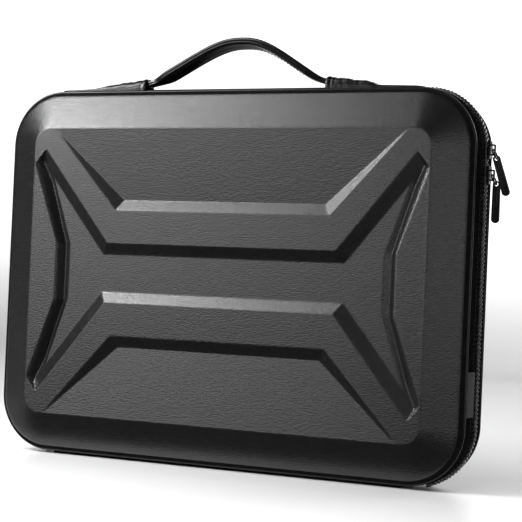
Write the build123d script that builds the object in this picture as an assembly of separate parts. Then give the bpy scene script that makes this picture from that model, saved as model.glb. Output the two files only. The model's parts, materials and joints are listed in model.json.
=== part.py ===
"""Hard-shell laptop case, 15.6 inch class, standing on its hinge side.

X runs along the width, Y from the front panel (negative) to the rear panel, Z up.
The zip runs in the plane Y = 0 and the case stands on Z = 0.
Both halves come from the same mould: the front one is modelled, the rear one mirrored.
In the front half a position is often given as depth, the distance in front of the zip
plane, and inset, the distance inside the outline of the case at the zip plane.
"""

from math import acos, atan2, cos, hypot, radians, sin, tan
import os

from build123d import *

# Outline of the case at the zip plane, without the teeth
outline_half_width = 199.4
outline_half_height = 147.4
outline_radius = 45.2

# Moulded shell of one half
half_depth = 34.0
shell_wall = 3.2
face_depth = 23.3
face_inset = 5.2
rim_depth = 20.3
rim_inset = 1.9
panel_half_width = 169.0
panel_half_height = 115.5
panel_radius = 14.0

# Pressed pattern of the panel: half sizes from its centre, and margins (side, upper) from its edge
bed_depth = 4.0
groove_depth = 6.4
chamfer_width = 8.2
centre_half_height = 15.2
centre_floor_half_width = 103.5
centre_corner_shift = 5.8
arm_half_height = 50.0
arm_upper_half_width = 91.5
trapezoid_corner_shift = 5.0
trapezoid_tip_margin = 17.5
arm_end_margin = (10.5, 17.5)
wedge_end_margin = (1.4, 28.5)
groove_tip_margin = (8.6, 26.9)
plateau_tip_margin = (13.4, 32.5)
wedge_reach = 24.6
wedge_corner_half_height = 23.0
groove_bottom_shift = (5.0, 0.4)
plateau_corner_shift = (9.8, 1.0)
groove_run = 0.92
groove_floor = 0.6

# Lining, piping and side bands
lining_wall = 1.0
fit_gap = 0.1
lining_gap = 0.2
hidden_corner_facets = 4
piping_width = 2.0
piping_rise = 0.95
piping_crest_share = 0.35
gusset_wall = 1.2
gusset_edge_depth = 5.5
gusset_edge_inset = 0.2
side_foam = 5.3
lining_edge_depth = 9.4

# Zip: tape, chain of teeth and end stops
tape_wall = 0.9
tape_reach = 9.0
slot_half_width = 0.6
chain_width = 2.1
chain_height = 3.4
chain_edge_height = 1.2
chain_shoulder = 0.85
zip_end_half_width = 168.0
stop_length = 4.0
stop_rise = 0.3
stop_lift = 0.3

# Hinge side
foot_wall = 1.2
foot_end_gap = 14.0
foot_reach = 16.0
hinge_half_gap = 0.4
foot_lap = 0.2
foot_gap = 0.4

# Handle
handle_centre_depth = 12.2
base_width = 12.0
base_wall = 1.8
base_chamfer = 0.6
mouth_half_span = 78.0
tab_tip_half_span = 150.0
tab_width = 15.4
tab_mouth_height = 8.2
tab_tip_height = 1.6
tab_round_share = 0.6
tab_round_bulge = 0.3
tab_stations = (  # shares of the length, of the width and of the height at the mouth
    (0.0, 1.0, 1.0),
    (0.45, 0.98, 0.62),
    (0.8, 0.9, 0.34),
)
tab_tip_share = 0.6
end_bore_radius = 3.0
bore_sides = 12
end_pin_radius = 2.5
end_pin_length = 16.0
loop_width = 15.0
loop_ply = 2.7
loop_neck_width = 4.0
loop_top = 335.0
loop_radius = 52.0
loop_neck_half_span = 60.0
mouth_clearance = 1.2

# Sliders
slider_half_length = 6.5
slider_half_width = 4.4
slider_nose_half_width = 3.0
slider_plate = 1.7
slider_clearance = 0.4
inner_clearance = 0.9
inner_plate = 1.2
blade_wall = 0.6
blade_start = 0.8
crown_half_length = 4.2
crown_half_width = 1.1
crown_hole_height = 2.3
crown_bar = 1.1
crown_leg = 1.2
crown_round_share = 0.8
slider_spacing = 18.6
ring_radius = 4.0
ring_wire = 0.65
wire_sides = 8
ring_sides = 24
ring_lean = 0.2
ring_rise = 0.5
ring_tilt = 25.0
pull_length = 31.0
pull_eye_radius = 2.8
pull_end_radius = 3.0
pull_wall = 2.0
pull_hole_radius = 1.5
pull_hole_rise = 0.35
pull_offset = 1.25
upper_pull_tilt = 18.0
lower_pull_tilt = 0.0

# Inside and trim
strap_width = 25.0
strap_wall = 1.2
strap_half_span = 95.0
strap_depth = 1.8
strap_anchor_depth = 10.6
strap_flat_half = 127.0
pocket_wall = 0.8
pocket_depth = 10.6
pocket_top = 70.0
binding_height = 12.0
binding_wall = 1.8
binding_lap = 0.5
tag_height = 33.0
tag_width = 12.0
tag_wall = 0.8
tag_centre_height = 71.5

# Worked-out places
centre_z = outline_half_height + foot_wall
seam_depth = rim_depth - piping_width
tape_inset = gusset_edge_inset + gusset_wall + fit_gap
crest_inset = tape_inset - chain_height
corner_x = outline_half_width - outline_radius
corner_z = centre_z + outline_half_height - outline_radius
arm_corner = (centre_floor_half_width - centre_corner_shift, centre_half_height + chamfer_width)
trapezoid_floor = (arm_upper_half_width - trapezoid_corner_shift, arm_half_height + chamfer_width)
trapezoid_tip_half_width = panel_half_width - trapezoid_tip_margin
arm_end = (panel_half_width - arm_end_margin[0], panel_half_height - arm_end_margin[1])
wedge_end = (panel_half_width - wedge_end_margin[0], panel_half_height - wedge_end_margin[1])
groove_tip = (panel_half_width - groove_tip_margin[0], panel_half_height - groove_tip_margin[1])
plateau_tip = (panel_half_width - plateau_tip_margin[0], panel_half_height - plateau_tip_margin[1])
wedge_corner = (panel_half_width - wedge_reach, wedge_corner_half_height)
groove_bottom = (wedge_corner[0] - groove_bottom_shift[0], wedge_corner[1] - groove_bottom_shift[1])
plateau_corner = (wedge_corner[0] - plateau_corner_shift[0], wedge_corner[1] - plateau_corner_shift[1])
foot_half_length = zip_end_half_width - stop_length - foot_end_gap


def plane_at(depth):
    """Plane of constant Y, with X to the right and Z up, centred on the case."""
    return Plane(origin=(0, -depth, centre_z), x_dir=(1, 0, 0), z_dir=(0, -1, 0))


def faceted_rectangle(half_width, half_height, radius):
    """Rectangle whose corners are cut by a few straight facets, for faces hidden inside the case."""
    points = []
    for quarter, (right, up) in enumerate(((1, 1), (-1, 1), (-1, -1), (1, -1))):
        for step in range(hidden_corner_facets + 1):
            angle = radians(90 * (quarter + step / hidden_corner_facets))
            x = right * (half_width - radius) + radius * cos(angle)
            z = up * (half_height - radius) + radius * sin(angle)
            points.append((x, z))
    return make_face(Polyline(*points, close=True))


def outline_at(depth, inset, hidden=False):
    """Outline of the case, drawn in by an inset; rounded, or faceted where it is hidden."""
    half_width = outline_half_width - inset
    half_height = outline_half_height - inset
    radius = outline_radius - inset
    if hidden:
        return plane_at(depth) * faceted_rectangle(half_width, half_height, radius)
    return plane_at(depth) * RectangleRounded(2 * half_width, 2 * half_height, radius)


def panel_outline(depth, inset=0.0, hidden=False):
    """Outline of the flat panel, drawn in by an inset; rounded, or faceted where it is hidden."""
    half_width = panel_half_width - inset
    half_height = panel_half_height - inset
    radius = panel_radius - inset
    if hidden:
        return plane_at(depth) * faceted_rectangle(half_width, half_height, radius)
    return plane_at(depth) * RectangleRounded(2 * half_width, 2 * half_height, radius)


def stack(sections):
    """Solid through a row of sections, straight from one to the next."""
    return loft(sections, ruled=True)


def ring(outer_levels, inner_levels, hidden=False):
    """Hollow ring between two rows of (depth, inset) levels."""
    outer = stack([outline_at(depth, inset, hidden) for depth, inset in outer_levels])
    inner = stack([outline_at(depth, inset, hidden) for depth, inset in inner_levels])
    return outer - inner


def gusset_inset(depth):
    """Inset of the outer face of the side band at a depth."""
    share = (depth - gusset_edge_depth) / (seam_depth - gusset_edge_depth)
    return gusset_edge_inset + share * (rim_inset - gusset_edge_inset)


def top_z(depth):
    """Height of the outer face of the top band at a depth."""
    return centre_z + outline_half_height - gusset_inset(depth)


def slab(x_range, y_range, z_range):
    """Box between two values along each axis."""
    sizes = [high - low for low, high in (x_range, y_range, z_range)]
    middles = [(high + low) / 2 for low, high in (x_range, y_range, z_range)]
    return Pos(*middles) * Box(*sizes)


def rearward(shape):
    """The same piece in the rear half."""
    return mirror(shape, about=Plane.XZ)


# ---------------------------------------------------------------- pressed pattern


def mirrored_four(points):
    """Closed outline symmetric about both axes, from its points in one quarter.

    The points run from the one nearest the vertical axis to the one nearest the horizontal axis.
    """
    right = points + [(x, -z) for x, z in reversed(points)]
    left = [(-x, z) for x, z in reversed(right)]
    return right + left


def flat_face(corners):
    """Flat face with the given corners in space."""
    return Face(Wire.make_polygon(corners))


def solid_from(faces):
    """Solid closed by flat faces."""
    return Part() + Solid(Shell(faces))


def level(points, surface_depth):
    """Corners in space of a flat outline at a depth below the panel."""
    return [(x, surface_depth - half_depth, centre_z + z) for x, z in points]


def faceted(mouth, floor, mouth_depth, floor_depth):
    """Recess between two outlines with as many corners, each of its walls cut into two flat facets."""
    upper = level(mouth, mouth_depth)
    lower = level(floor, floor_depth)
    faces = [flat_face(upper), flat_face(lower)]
    for here, upper_corner in enumerate(upper):
        after = (here + 1) % len(upper)
        faces.append(flat_face([upper_corner, upper[after], lower[here]]))
        faces.append(flat_face([upper[after], lower[after], lower[here]]))
    return solid_from(faces)


def between(start, end, share):
    """Point a share of the way from one point to another."""
    return tuple(a + share * (b - a) for a, b in zip(start, end))


def centre_bed():
    """Recess between the two raised bands, reaching into the four corners."""
    share = bed_depth / groove_depth
    rim = [arm_corner, arm_end, wedge_end, wedge_corner]
    floor = [
        (centre_floor_half_width, centre_half_height),
        between(arm_end, groove_tip, share),
        between(wedge_end, groove_tip, share),
        between(wedge_corner, groove_bottom, share),
    ]
    return faceted(mirrored_four(rim), mirrored_four(floor), 0, bed_depth)


def groove_outline(outer, inner):
    """Closed outline of the right groove, from the upper ends of its two sides."""
    down = outer + [(x, -z) for x, z in reversed(outer)]
    back = [(x, -z) for x, z in inner] + list(reversed(inner))
    return down + back


def side_groove():
    """Groove with a V section between the centre and the side wedge, on the right side."""
    share = bed_depth / groove_depth
    outer = [between(wedge_end, groove_tip, share), between(wedge_corner, groove_bottom, share)]
    inner = [plateau_tip, plateau_corner]
    ends = [between(groove_bottom, groove_tip, groove_run), groove_bottom]
    deep_outer = [(x + groove_floor / 2, z) for x, z in ends]
    deep_inner = [(x - groove_floor / 2, z) for x, z in ends]
    mouth = groove_outline(outer, inner)
    return faceted(mouth, groove_outline(deep_outer, deep_inner), bed_depth, groove_depth)


def sloping_bed():
    """Recess above the upper band: deepest at the band, level with the panel at its outer edge."""
    front = -half_depth
    tip_z = centre_z + panel_half_height
    edge_z = centre_z + arm_half_height
    floor_z = centre_z + trapezoid_floor[1]
    tips = [(side * trapezoid_tip_half_width, front, tip_z) for side in (-1, 1)]
    edges = [(side * arm_upper_half_width, front, edge_z) for side in (-1, 1)]
    floors = [(side * trapezoid_floor[0], front + bed_depth, floor_z) for side in (-1, 1)]
    corners = [
        [tips[0], tips[1], edges[1], edges[0]],
        [tips[0], tips[1], floors[1], floors[0]],
        [floors[0], floors[1], edges[1], edges[0]],
        [tips[0], edges[0], floors[0]],
        [tips[1], edges[1], floors[1]],
    ]
    return solid_from([flat_face(points) for points in corners])


def pressed_pattern():
    """Everything that the mould presses into the panel."""
    right_groove = side_groove()
    upper = sloping_bed()
    lower = mirror(upper, about=Plane(origin=(0, 0, centre_z), z_dir=(0, 0, 1)))
    left_groove = mirror(right_groove, about=Plane.YZ)
    return centre_bed() + right_groove + left_groove + upper + lower


# ---------------------------------------------------------------- shell and lining


def moulding(wall, hidden=False):
    """Solid bounded by the moulded surface, drawn in by a wall."""
    slope = (half_depth - face_depth) / (outline_half_width - face_inset - panel_half_width)
    corner_shift = wall * slope / 2
    sections = [
        outline_at(rim_depth, rim_inset + wall, hidden),
        outline_at(face_depth - corner_shift, face_inset + wall * cos(atan2(slope, 1)), hidden),
        panel_outline(half_depth - wall, corner_shift, hidden),
    ]
    return stack(sections)


pattern = pressed_pattern()


def cavity(wall):
    """Space inside a skin of the given wall, which follows the pressed pattern."""
    return moulding(wall, hidden=True) - Pos(0, wall, 0) * pattern


def shell():
    """Moulded shell with its bevel, rim and pressed pattern."""
    return (moulding(0) - pattern) - cavity(shell_wall)


def lining():
    """Thin lining: panel part inside the shell and a straight wall beside the side foam."""
    outside = shell_wall + lining_gap
    panel_part = cavity(outside) - cavity(outside + lining_wall)
    inner_inset = rim_inset + outside
    wall_levels = [(rim_depth, inner_inset), (lining_edge_depth, side_foam)]
    inner_levels = [(rim_depth, inner_inset + lining_wall), (lining_edge_depth, side_foam + lining_wall)]
    return panel_part + ring(wall_levels, inner_levels, hidden=True)


def piping():
    """Round piping in the seam between shell and side band, with its sewn flange."""
    middle = (rim_depth + seam_depth) / 2
    crest_half = piping_width * piping_crest_share / 2
    crest = rim_inset - piping_rise
    outer = [
        (rim_depth, rim_inset),
        (middle + crest_half, crest),
        (middle - crest_half, crest),
        (seam_depth, rim_inset),
    ]
    inner = [(rim_depth, rim_inset + shell_wall), (seam_depth, rim_inset + shell_wall)]
    return ring(outer, inner)


# ---------------------------------------------------------------- side bands, zip, hinge


def gusset():
    """Whole side band of one half, between the piping and the zip."""
    outer = [(seam_depth, rim_inset), (gusset_edge_depth, gusset_edge_inset)]
    inner = [(seam_depth, rim_inset + gusset_wall), (gusset_edge_depth, gusset_edge_inset + gusset_wall)]
    return ring(outer, inner)


def gusset_side(band, name):
    """One of the four strips of the side band, cut at the middle of the corners."""
    far = 2 * outline_half_width
    corner = outline_half_width - outline_half_height
    reach_z = far - corner
    right = [(corner, 0), (far, reach_z), (far, -reach_z)]
    top = [(-corner, 0), (corner, 0), (far, reach_z), (-far, reach_z)]
    outlines = {
        "right": right,
        "left": [(-x, z) for x, z in right],
        "top": top,
        "bottom": [(x, -z) for x, z in top],
    }
    region = extrude(plane_at(0) * make_face(Polyline(*outlines[name], close=True)), amount=half_depth)
    return band & region


def tape_band(edge_depth):
    """Band of tape under the edge of the side band, all round the case."""
    hidden_inset = gusset_inset(tape_reach) + gusset_wall + fit_gap
    levels = [(tape_reach, hidden_inset), (gusset_edge_depth, tape_inset), (edge_depth, tape_inset)]
    return ring(levels, [(depth, inset + tape_wall) for depth, inset in levels])


def zip_tape():
    """Tape on the three sides that the zip runs along."""
    return tape_band(slot_half_width) - hinge_region(zip_end_half_width)


def hinge_region(half_length):
    """Box round the hinge side, where there is no zip."""
    return slab((-half_length, half_length), (-half_depth, 0), (-foot_reach, outline_radius / 2))


def hinge_tape():
    """Band along the bottom that carries the fold of the hinge."""
    return tape_band(hinge_half_gap) & hinge_region(zip_end_half_width - fit_gap)


def chain():
    """Half of the row of teeth, a plain bead on the tape."""
    outer_depth = slot_half_width + chain_width
    outer = [
        (outer_depth, tape_inset - chain_edge_height),
        (outer_depth - chain_shoulder, crest_inset),
        (slot_half_width, crest_inset),
    ]
    inner = [(outer_depth, tape_inset), (slot_half_width, tape_inset)]
    return ring(outer, inner) - hinge_region(zip_end_half_width)


def end_stops():
    """Two stops that close the ends of the zip, on the rear tape."""
    rise = crest_inset - stop_rise
    levels = [(slot_half_width + chain_width, rise), (slot_half_width, rise)]
    band = ring(levels, [(depth, tape_inset) for depth, _ in levels])
    outside = hinge_region(zip_end_half_width - fit_gap)
    inside = hinge_region(zip_end_half_width - stop_length)
    reach = outline_half_width
    raised = slab((-reach, reach), (-half_depth, 0), (stop_lift, outline_radius))
    return (band & outside & raised) - inside


def foot(near):
    """Flat reinforcing strip on the hinge side, on which the case stands, from a depth near the fold."""
    edge_z = foot_wall + gusset_edge_inset - fit_gap
    far_z = foot_wall + gusset_inset(foot_reach) - fit_gap
    profile = [
        (-near, 0),
        (-foot_reach, 0),
        (-foot_reach, far_z),
        (-gusset_edge_depth, edge_z),
        (-near, edge_z),
    ]
    face = Plane.YZ * make_face(Polyline(*profile, close=True))
    return extrude(face, amount=foot_half_length, both=True)


# ---------------------------------------------------------------- handle

handle_y = -handle_centre_depth
base_under_z = top_z(handle_centre_depth)
mouth_z = base_under_z + base_wall + end_pin_radius + mouth_clearance


def handle_base():
    """Flat strap sewn along the top band under the loop."""
    near = handle_centre_depth - base_width / 2
    far = handle_centre_depth + base_width / 2
    profile = [
        (-near, top_z(near) + fit_gap),
        (-far, top_z(far) + fit_gap),
        (-far, top_z(far) + fit_gap + base_wall - base_chamfer),
        (-far + base_chamfer, top_z(far) + fit_gap + base_wall),
        (-near - base_chamfer, top_z(near) + fit_gap + base_wall),
        (-near, top_z(near) + fit_gap + base_wall - base_chamfer),
    ]
    face = Plane.YZ * make_face(Polyline(*profile, close=True))
    return extrude(face, amount=mouth_half_span - fit_gap, both=True)


def tab_floor(depth):
    """Height of the underside of a tab, which bridges the side band and the piping."""
    near = handle_centre_depth - tab_width / 2
    far = handle_centre_depth + tab_width / 2
    near_z = top_z(gusset_edge_depth) + fit_gap
    far_z = centre_z + outline_half_height - rim_inset + piping_rise + fit_gap
    return near_z + (depth - near) / (far - near) * (far_z - near_z)


def tab_section(x, width, height):
    """Cross section of a tab: flat below, rounded at both upper edges."""
    near = handle_centre_depth - width / 2
    far = handle_centre_depth + width / 2
    crown = tab_floor(handle_centre_depth) + height
    round_in = min(height * tab_round_share, width / 4)
    points = [
        (-near, tab_floor(near)),
        (-far, tab_floor(far)),
        (-far, crown - round_in),
        (-far + round_in * tab_round_bulge, crown - round_in * tab_round_bulge),
        (-far + round_in, crown),
        (-near - round_in, crown),
        (-near - round_in * tab_round_bulge, crown - round_in * tab_round_bulge),
        (-near, crown - round_in),
    ]
    plane = Plane(origin=(x, 0, 0), x_dir=(0, 1, 0), z_dir=(1, 0, 0))
    return plane * make_face(Polyline(*points, close=True))


def handle_tab():
    """Leather tab on the right that wraps one end of the loop and is sewn to the top band."""
    length = tab_tip_half_span - mouth_half_span
    sections = [
        tab_section(mouth_half_span + place * length, tab_width * width, tab_mouth_height * height)
        for place, width, height in tab_stations
    ]
    sections.append(tab_section(tab_tip_half_span, tab_width * tab_tip_share, tab_tip_height))
    body = stack(sections)
    bore_axis = Plane(origin=(mouth_half_span, handle_y, mouth_z), x_dir=(0, 1, 0), z_dir=(1, 0, 0))
    bore = extrude(bore_axis * RegularPolygon(end_bore_radius, bore_sides), amount=end_pin_length + 2 * mouth_clearance)
    return body - bore


def loop_path():
    """Centre line of the right half of the loop: an arc, then a straight leg to the mouth of the tab."""
    radius = loop_radius - loop_ply
    centre = (0, loop_top - loop_radius)
    end_x = mouth_half_span - 2 * mouth_clearance
    span = hypot(end_x, mouth_z - centre[1])
    angle = atan2(end_x, mouth_z - centre[1]) - acos(radius / span)
    return centre, radius, angle, end_x


def loop_ply_outline(offset_in, offset_out):
    """Half profile of one ply in the XZ plane, between two offsets from the centre line."""
    centre, radius, angle, end_x = loop_path()
    points = {}
    for offset in (offset_in, offset_out):
        reach = radius + offset
        mid = (centre[0] + reach * sin(angle / 2), centre[1] + reach * cos(angle / 2))
        end = (centre[0] + reach * sin(angle), centre[1] + reach * cos(angle))
        foot_z = end[1] - (end_x - end[0]) * tan(angle)
        points[offset] = ((centre[0], centre[1] + reach), mid, end, (end_x, foot_z))
    inner = points[offset_in]
    outer = points[offset_out]
    edges = [
        ThreePointArc(outer[0], outer[1], outer[2]),
        Line(outer[2], outer[3]),
        Line(outer[3], inner[3]),
        Line(inner[3], inner[2]),
        ThreePointArc(inner[2], inner[1], inner[0]),
        Line(inner[0], outer[0]),
    ]
    return make_face(edges)


def loop_width_mask():
    """Plan of the loop seen from above: full width, then a neck towards each end."""
    half = loop_width / 2
    neck = loop_neck_width / 2
    end_x = mouth_half_span
    side = [(0, half), (loop_neck_half_span, half), (end_x - 4 * mouth_clearance, neck), (end_x, neck)]
    right = side + [(x, -y) for x, y in reversed(side)]
    low_z = mouth_z - end_pin_radius
    plan = Plane(origin=(0, handle_y, low_z))
    face = plan * make_face(Polyline(*right, close=True))
    return extrude(face, amount=loop_top - low_z + loop_ply)


def loop_strip(offset_in, offset_out):
    """One ply of the loop, both halves."""
    face = Plane(origin=(0, handle_y, 0), x_dir=(1, 0, 0), z_dir=(0, -1, 0)) * loop_ply_outline(offset_in, offset_out)
    right = extrude(face, amount=loop_width / 2, both=True) & loop_width_mask()
    return right + mirror(right, about=Plane.YZ)


def loop_ends():
    """Two round ends of the loop that sit in the tabs."""
    start = mouth_half_span - 2 * mouth_clearance
    axis = Plane(origin=(start, handle_y, mouth_z), x_dir=(0, 1, 0), z_dir=(1, 0, 0))
    pin = extrude(axis * Circle(end_pin_radius), amount=end_pin_length + mouth_clearance)
    return pin + mirror(pin, about=Plane.YZ)


# ---------------------------------------------------------------- sliders

plate_under = -crest_inset + slider_clearance
plate_top = plate_under + slider_plate
crown_top = plate_top + crown_hole_height + crown_bar
inner_face = -(tape_inset + tape_wall + inner_clearance)
ring_seat = plate_top + crown_hole_height / 2 + ring_lean


def slider_plan(height, thickness, facing):
    """Plate of a slider between two distances from the outline, wide at its open end."""
    points = [
        (-slider_half_width, facing * slider_half_length),
        (slider_half_width, facing * slider_half_length),
        (slider_half_width, 0),
        (slider_nose_half_width, -facing * slider_half_length),
        (-slider_nose_half_width, -facing * slider_half_length),
        (-slider_half_width, 0),
    ]
    plane = Plane(origin=(height, 0, 0), x_dir=(0, 1, 0), z_dir=(1, 0, 0))
    return extrude(plane * make_face(Polyline(*points, close=True)), amount=thickness)


def slider_body(facing):
    """Slider with its two plates and the blade between the two rows of teeth."""
    outer = slider_plan(plate_under, slider_plate, facing)
    inner = slider_plan(inner_face - inner_plate, inner_plate, facing)
    blade_z = sorted((facing * blade_start, facing * (slider_half_length - blade_start)))
    blade = slab((inner_face, plate_under), (-blade_wall / 2, blade_wall / 2), blade_z)
    return outer + inner + blade


def slider_crown():
    """Bridge on the slider through which the ring passes."""
    solid = slab((plate_top, crown_top), (-crown_half_width, crown_half_width), (-crown_half_length, crown_half_length))
    hole_z = crown_half_length - crown_leg
    hole = slab((plate_top, crown_top - crown_bar), (-crown_half_width, crown_half_width), (-hole_z, hole_z))
    crown_edges = (solid - hole).edges().filter_by(Axis.Y).group_by(Axis.X)[-1]
    return fillet(crown_edges, crown_bar * crown_round_share)


ring_pivot = (ring_seat, ring_rise)


def ring_bottom(tilt=ring_tilt):
    """Middle of the lowest part of a ring, from the slider's centre on the outline."""
    angle = radians(tilt)
    return (ring_pivot[0] + 2 * ring_radius * sin(angle), ring_pivot[1] - 2 * ring_radius * cos(angle))


def pull_ring():
    """Wire ring under the crown, leaning outwards."""
    path = (Plane.YZ * RegularPolygon(ring_radius, ring_sides)).face().outer_wire()
    section = Plane(origin=path @ 0.5, z_dir=path % 0.5) * RegularPolygon(ring_wire, wire_sides)
    hoop = Pos(0, 0, -ring_radius) * sweep(section, path, transition=Transition.RIGHT)
    return Pos(ring_pivot[0], 0, ring_pivot[1]) * (Rot(0, -ring_tilt, 0) * hoop)


def pull(tilt, offset):
    """Flat pull with an eye, hanging from the ring beside its middle."""
    straight = pull_length - pull_eye_radius - pull_end_radius
    eye = Circle(pull_eye_radius)
    end = Pos(0, -straight) * Circle(pull_end_radius)
    sides = [
        (-pull_eye_radius, 0),
        (pull_eye_radius, 0),
        (pull_end_radius, -straight),
        (-pull_end_radius, -straight),
    ]
    web = make_face(Polyline(*sides, close=True))
    hole = Pos(0, pull_hole_rise) * Circle(pull_hole_radius)
    flat = (eye + end + web) - hole
    plane = Plane(origin=(0, 0, 0), x_dir=(1, 0, 0), z_dir=(0, -1, 0))
    bar = extrude(plane * flat, amount=pull_wall / 2, both=True)
    bottom = ring_bottom()
    return Pos(bottom[0], offset, bottom[1]) * (Rot(0, -tilt, 0) * bar)


def on_side(shape, height):
    """Move a slider piece to the right side of the case at a height."""
    return Pos(outline_half_width, 0, height) * shape


upper_slider_z = corner_z
lower_slider_z = corner_z - slider_spacing


# ---------------------------------------------------------------- inside and trim


def laptop_strap(x):
    """Elastic strap over the laptop bay, sewn to the lining at both ends."""
    inner = outline_half_height - side_foam - lining_wall - fit_gap
    upper_half = [
        (strap_depth, 0),
        (strap_depth, strap_flat_half),
        (strap_anchor_depth, inner),
        (strap_anchor_depth + strap_wall, inner),
        (strap_depth + strap_wall, strap_flat_half),
        (strap_depth + strap_wall, 0),
    ]
    profile = Plane(origin=(x, 0, centre_z), x_dir=(0, 1, 0), z_dir=(1, 0, 0))
    half = extrude(profile * make_face(Polyline(*upper_half, close=True)), amount=strap_width / 2, both=True)
    return half + mirror(half, about=Plane(origin=(0, 0, centre_z), z_dir=(0, 0, 1)))


def inner_sheet(depth, wall, low, high):
    """Sheet across the open side of the front half, between two heights from the centre."""
    gap = side_foam + lining_wall + fit_gap
    sheet = extrude(outline_at(depth + wall, gap, hidden=True), amount=-wall)
    band = slab((-outline_half_width, outline_half_width), (-half_depth, 0), (centre_z + low, centre_z + high))
    return sheet & band


def side_tag():
    """Folded fabric tag on the right side band."""
    middle = (seam_depth + gusset_edge_depth) / 2
    near = middle - tag_width / 2
    far = middle + tag_width / 2
    points = []
    for depth, rise in ((near, fit_gap), (far, fit_gap), (far, fit_gap + tag_wall), (near, fit_gap + tag_wall)):
        points.append((outline_half_width - gusset_inset(depth) + rise, -depth))
    plane = Plane(origin=(0, 0, tag_centre_height), x_dir=(1, 0, 0), z_dir=(0, 0, 1))
    return extrude(plane * make_face(Polyline(*points, close=True)), amount=tag_height / 2, both=True)


def build_parts():
    """Every piece of the case under its name."""
    parts = {}
    band = gusset()
    half = {
        "shell": shell(),
        "lining": lining(),
        "piping": piping(),
        "zip_tape": zip_tape(),
        "zip_chain": chain(),
        "hinge_tape": hinge_tape(),
    }
    for side in ("top", "bottom", "left", "right"):
        half["gusset_" + side] = gusset_side(band, side)
    for name, shape in half.items():
        parts["front_" + name] = shape
        parts["rear_" + name] = rearward(shape)

    parts["rear_foot_strip"] = rearward(foot(-foot_lap))
    parts["front_foot_strip"] = foot(foot_lap + foot_gap)
    parts["zip_end_stops"] = rearward(end_stops())
    parts["laptop_strap_left"] = laptop_strap(-strap_half_span)
    parts["laptop_strap_right"] = laptop_strap(strap_half_span)
    floor = -(outline_half_height - side_foam)
    parts["pocket_mesh"] = inner_sheet(pocket_depth, pocket_wall, floor, pocket_top)
    parts["pocket_binding"] = inner_sheet(pocket_depth - binding_lap, binding_wall, pocket_top, pocket_top + binding_height)
    parts["side_tag"] = side_tag()

    tab = handle_tab()
    parts["handle_base"] = handle_base()
    parts["handle_tab_right"] = tab
    parts["handle_tab_left"] = mirror(tab, about=Plane.YZ)
    parts["handle_upper_ply"] = loop_strip(0, loop_ply)
    parts["handle_lower_ply"] = loop_strip(-loop_ply, 0)
    parts["handle_ends"] = loop_ends()

    for name, height, facing, tilt in (
        ("upper", upper_slider_z, -1, upper_pull_tilt),
        ("lower", lower_slider_z, 1, lower_pull_tilt),
    ):
        parts[name + "_slider_body"] = on_side(slider_body(facing), height)
        parts[name + "_slider_crown"] = on_side(slider_crown(), height)
        parts[name + "_pull_ring"] = on_side(pull_ring(), height)
        parts[name + "_pull"] = on_side(pull(tilt, facing * pull_offset), height)
    return parts


os.makedirs("parts", exist_ok=True)
for part_name, part_shape in build_parts().items():
    export_step(part_shape, f"parts/{part_name}.step")
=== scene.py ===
import json
import logging
import math
from dataclasses import dataclass
from enum import Enum
from typing import Callable, Sequence

import bmesh
import bpy
import numpy as np
from mathutils import Matrix, Vector

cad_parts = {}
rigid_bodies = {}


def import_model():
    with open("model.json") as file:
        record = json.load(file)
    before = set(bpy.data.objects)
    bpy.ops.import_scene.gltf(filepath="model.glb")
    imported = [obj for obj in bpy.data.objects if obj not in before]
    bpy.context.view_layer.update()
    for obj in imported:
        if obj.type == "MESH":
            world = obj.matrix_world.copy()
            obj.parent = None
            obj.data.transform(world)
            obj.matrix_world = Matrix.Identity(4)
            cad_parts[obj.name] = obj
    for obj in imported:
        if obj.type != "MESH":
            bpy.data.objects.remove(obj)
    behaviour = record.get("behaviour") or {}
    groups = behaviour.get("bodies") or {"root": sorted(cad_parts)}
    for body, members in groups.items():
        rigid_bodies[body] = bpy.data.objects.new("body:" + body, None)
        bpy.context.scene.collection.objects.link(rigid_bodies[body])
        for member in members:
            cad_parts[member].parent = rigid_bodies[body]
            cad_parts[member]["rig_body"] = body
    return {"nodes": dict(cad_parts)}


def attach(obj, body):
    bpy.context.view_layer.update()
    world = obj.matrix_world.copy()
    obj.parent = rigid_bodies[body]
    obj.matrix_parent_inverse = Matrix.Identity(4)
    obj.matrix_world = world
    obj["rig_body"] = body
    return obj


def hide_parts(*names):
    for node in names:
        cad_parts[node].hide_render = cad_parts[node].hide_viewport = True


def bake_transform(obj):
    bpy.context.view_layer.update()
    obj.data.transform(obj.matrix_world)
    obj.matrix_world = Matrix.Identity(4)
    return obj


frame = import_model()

# Dresses the hard-shell laptop case: pressed skins, bands, zip, handle, sliders and inside.
# Shapes are worked out in millimetres, with depth in front of the zip plane, and written in metres.

MM = 0.001
Array = np.ndarray
log = logging.getLogger("laptop_case")


# ---------------------------------------------------------------- meshes


class Facing(Enum):
    """Which half of the case a piece belongs to, with the sign of its Y."""

    FRONT = -1
    REAR = 1

    @property
    def body(self) -> str:
        """Name of the CAD body of this half."""
        return "front_half" if self is Facing.FRONT else "rear_half"

    @property
    def prefix(self) -> str:
        """Start of the names of this half's nodes."""
        return "front_" if self is Facing.FRONT else "rear_"


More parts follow.
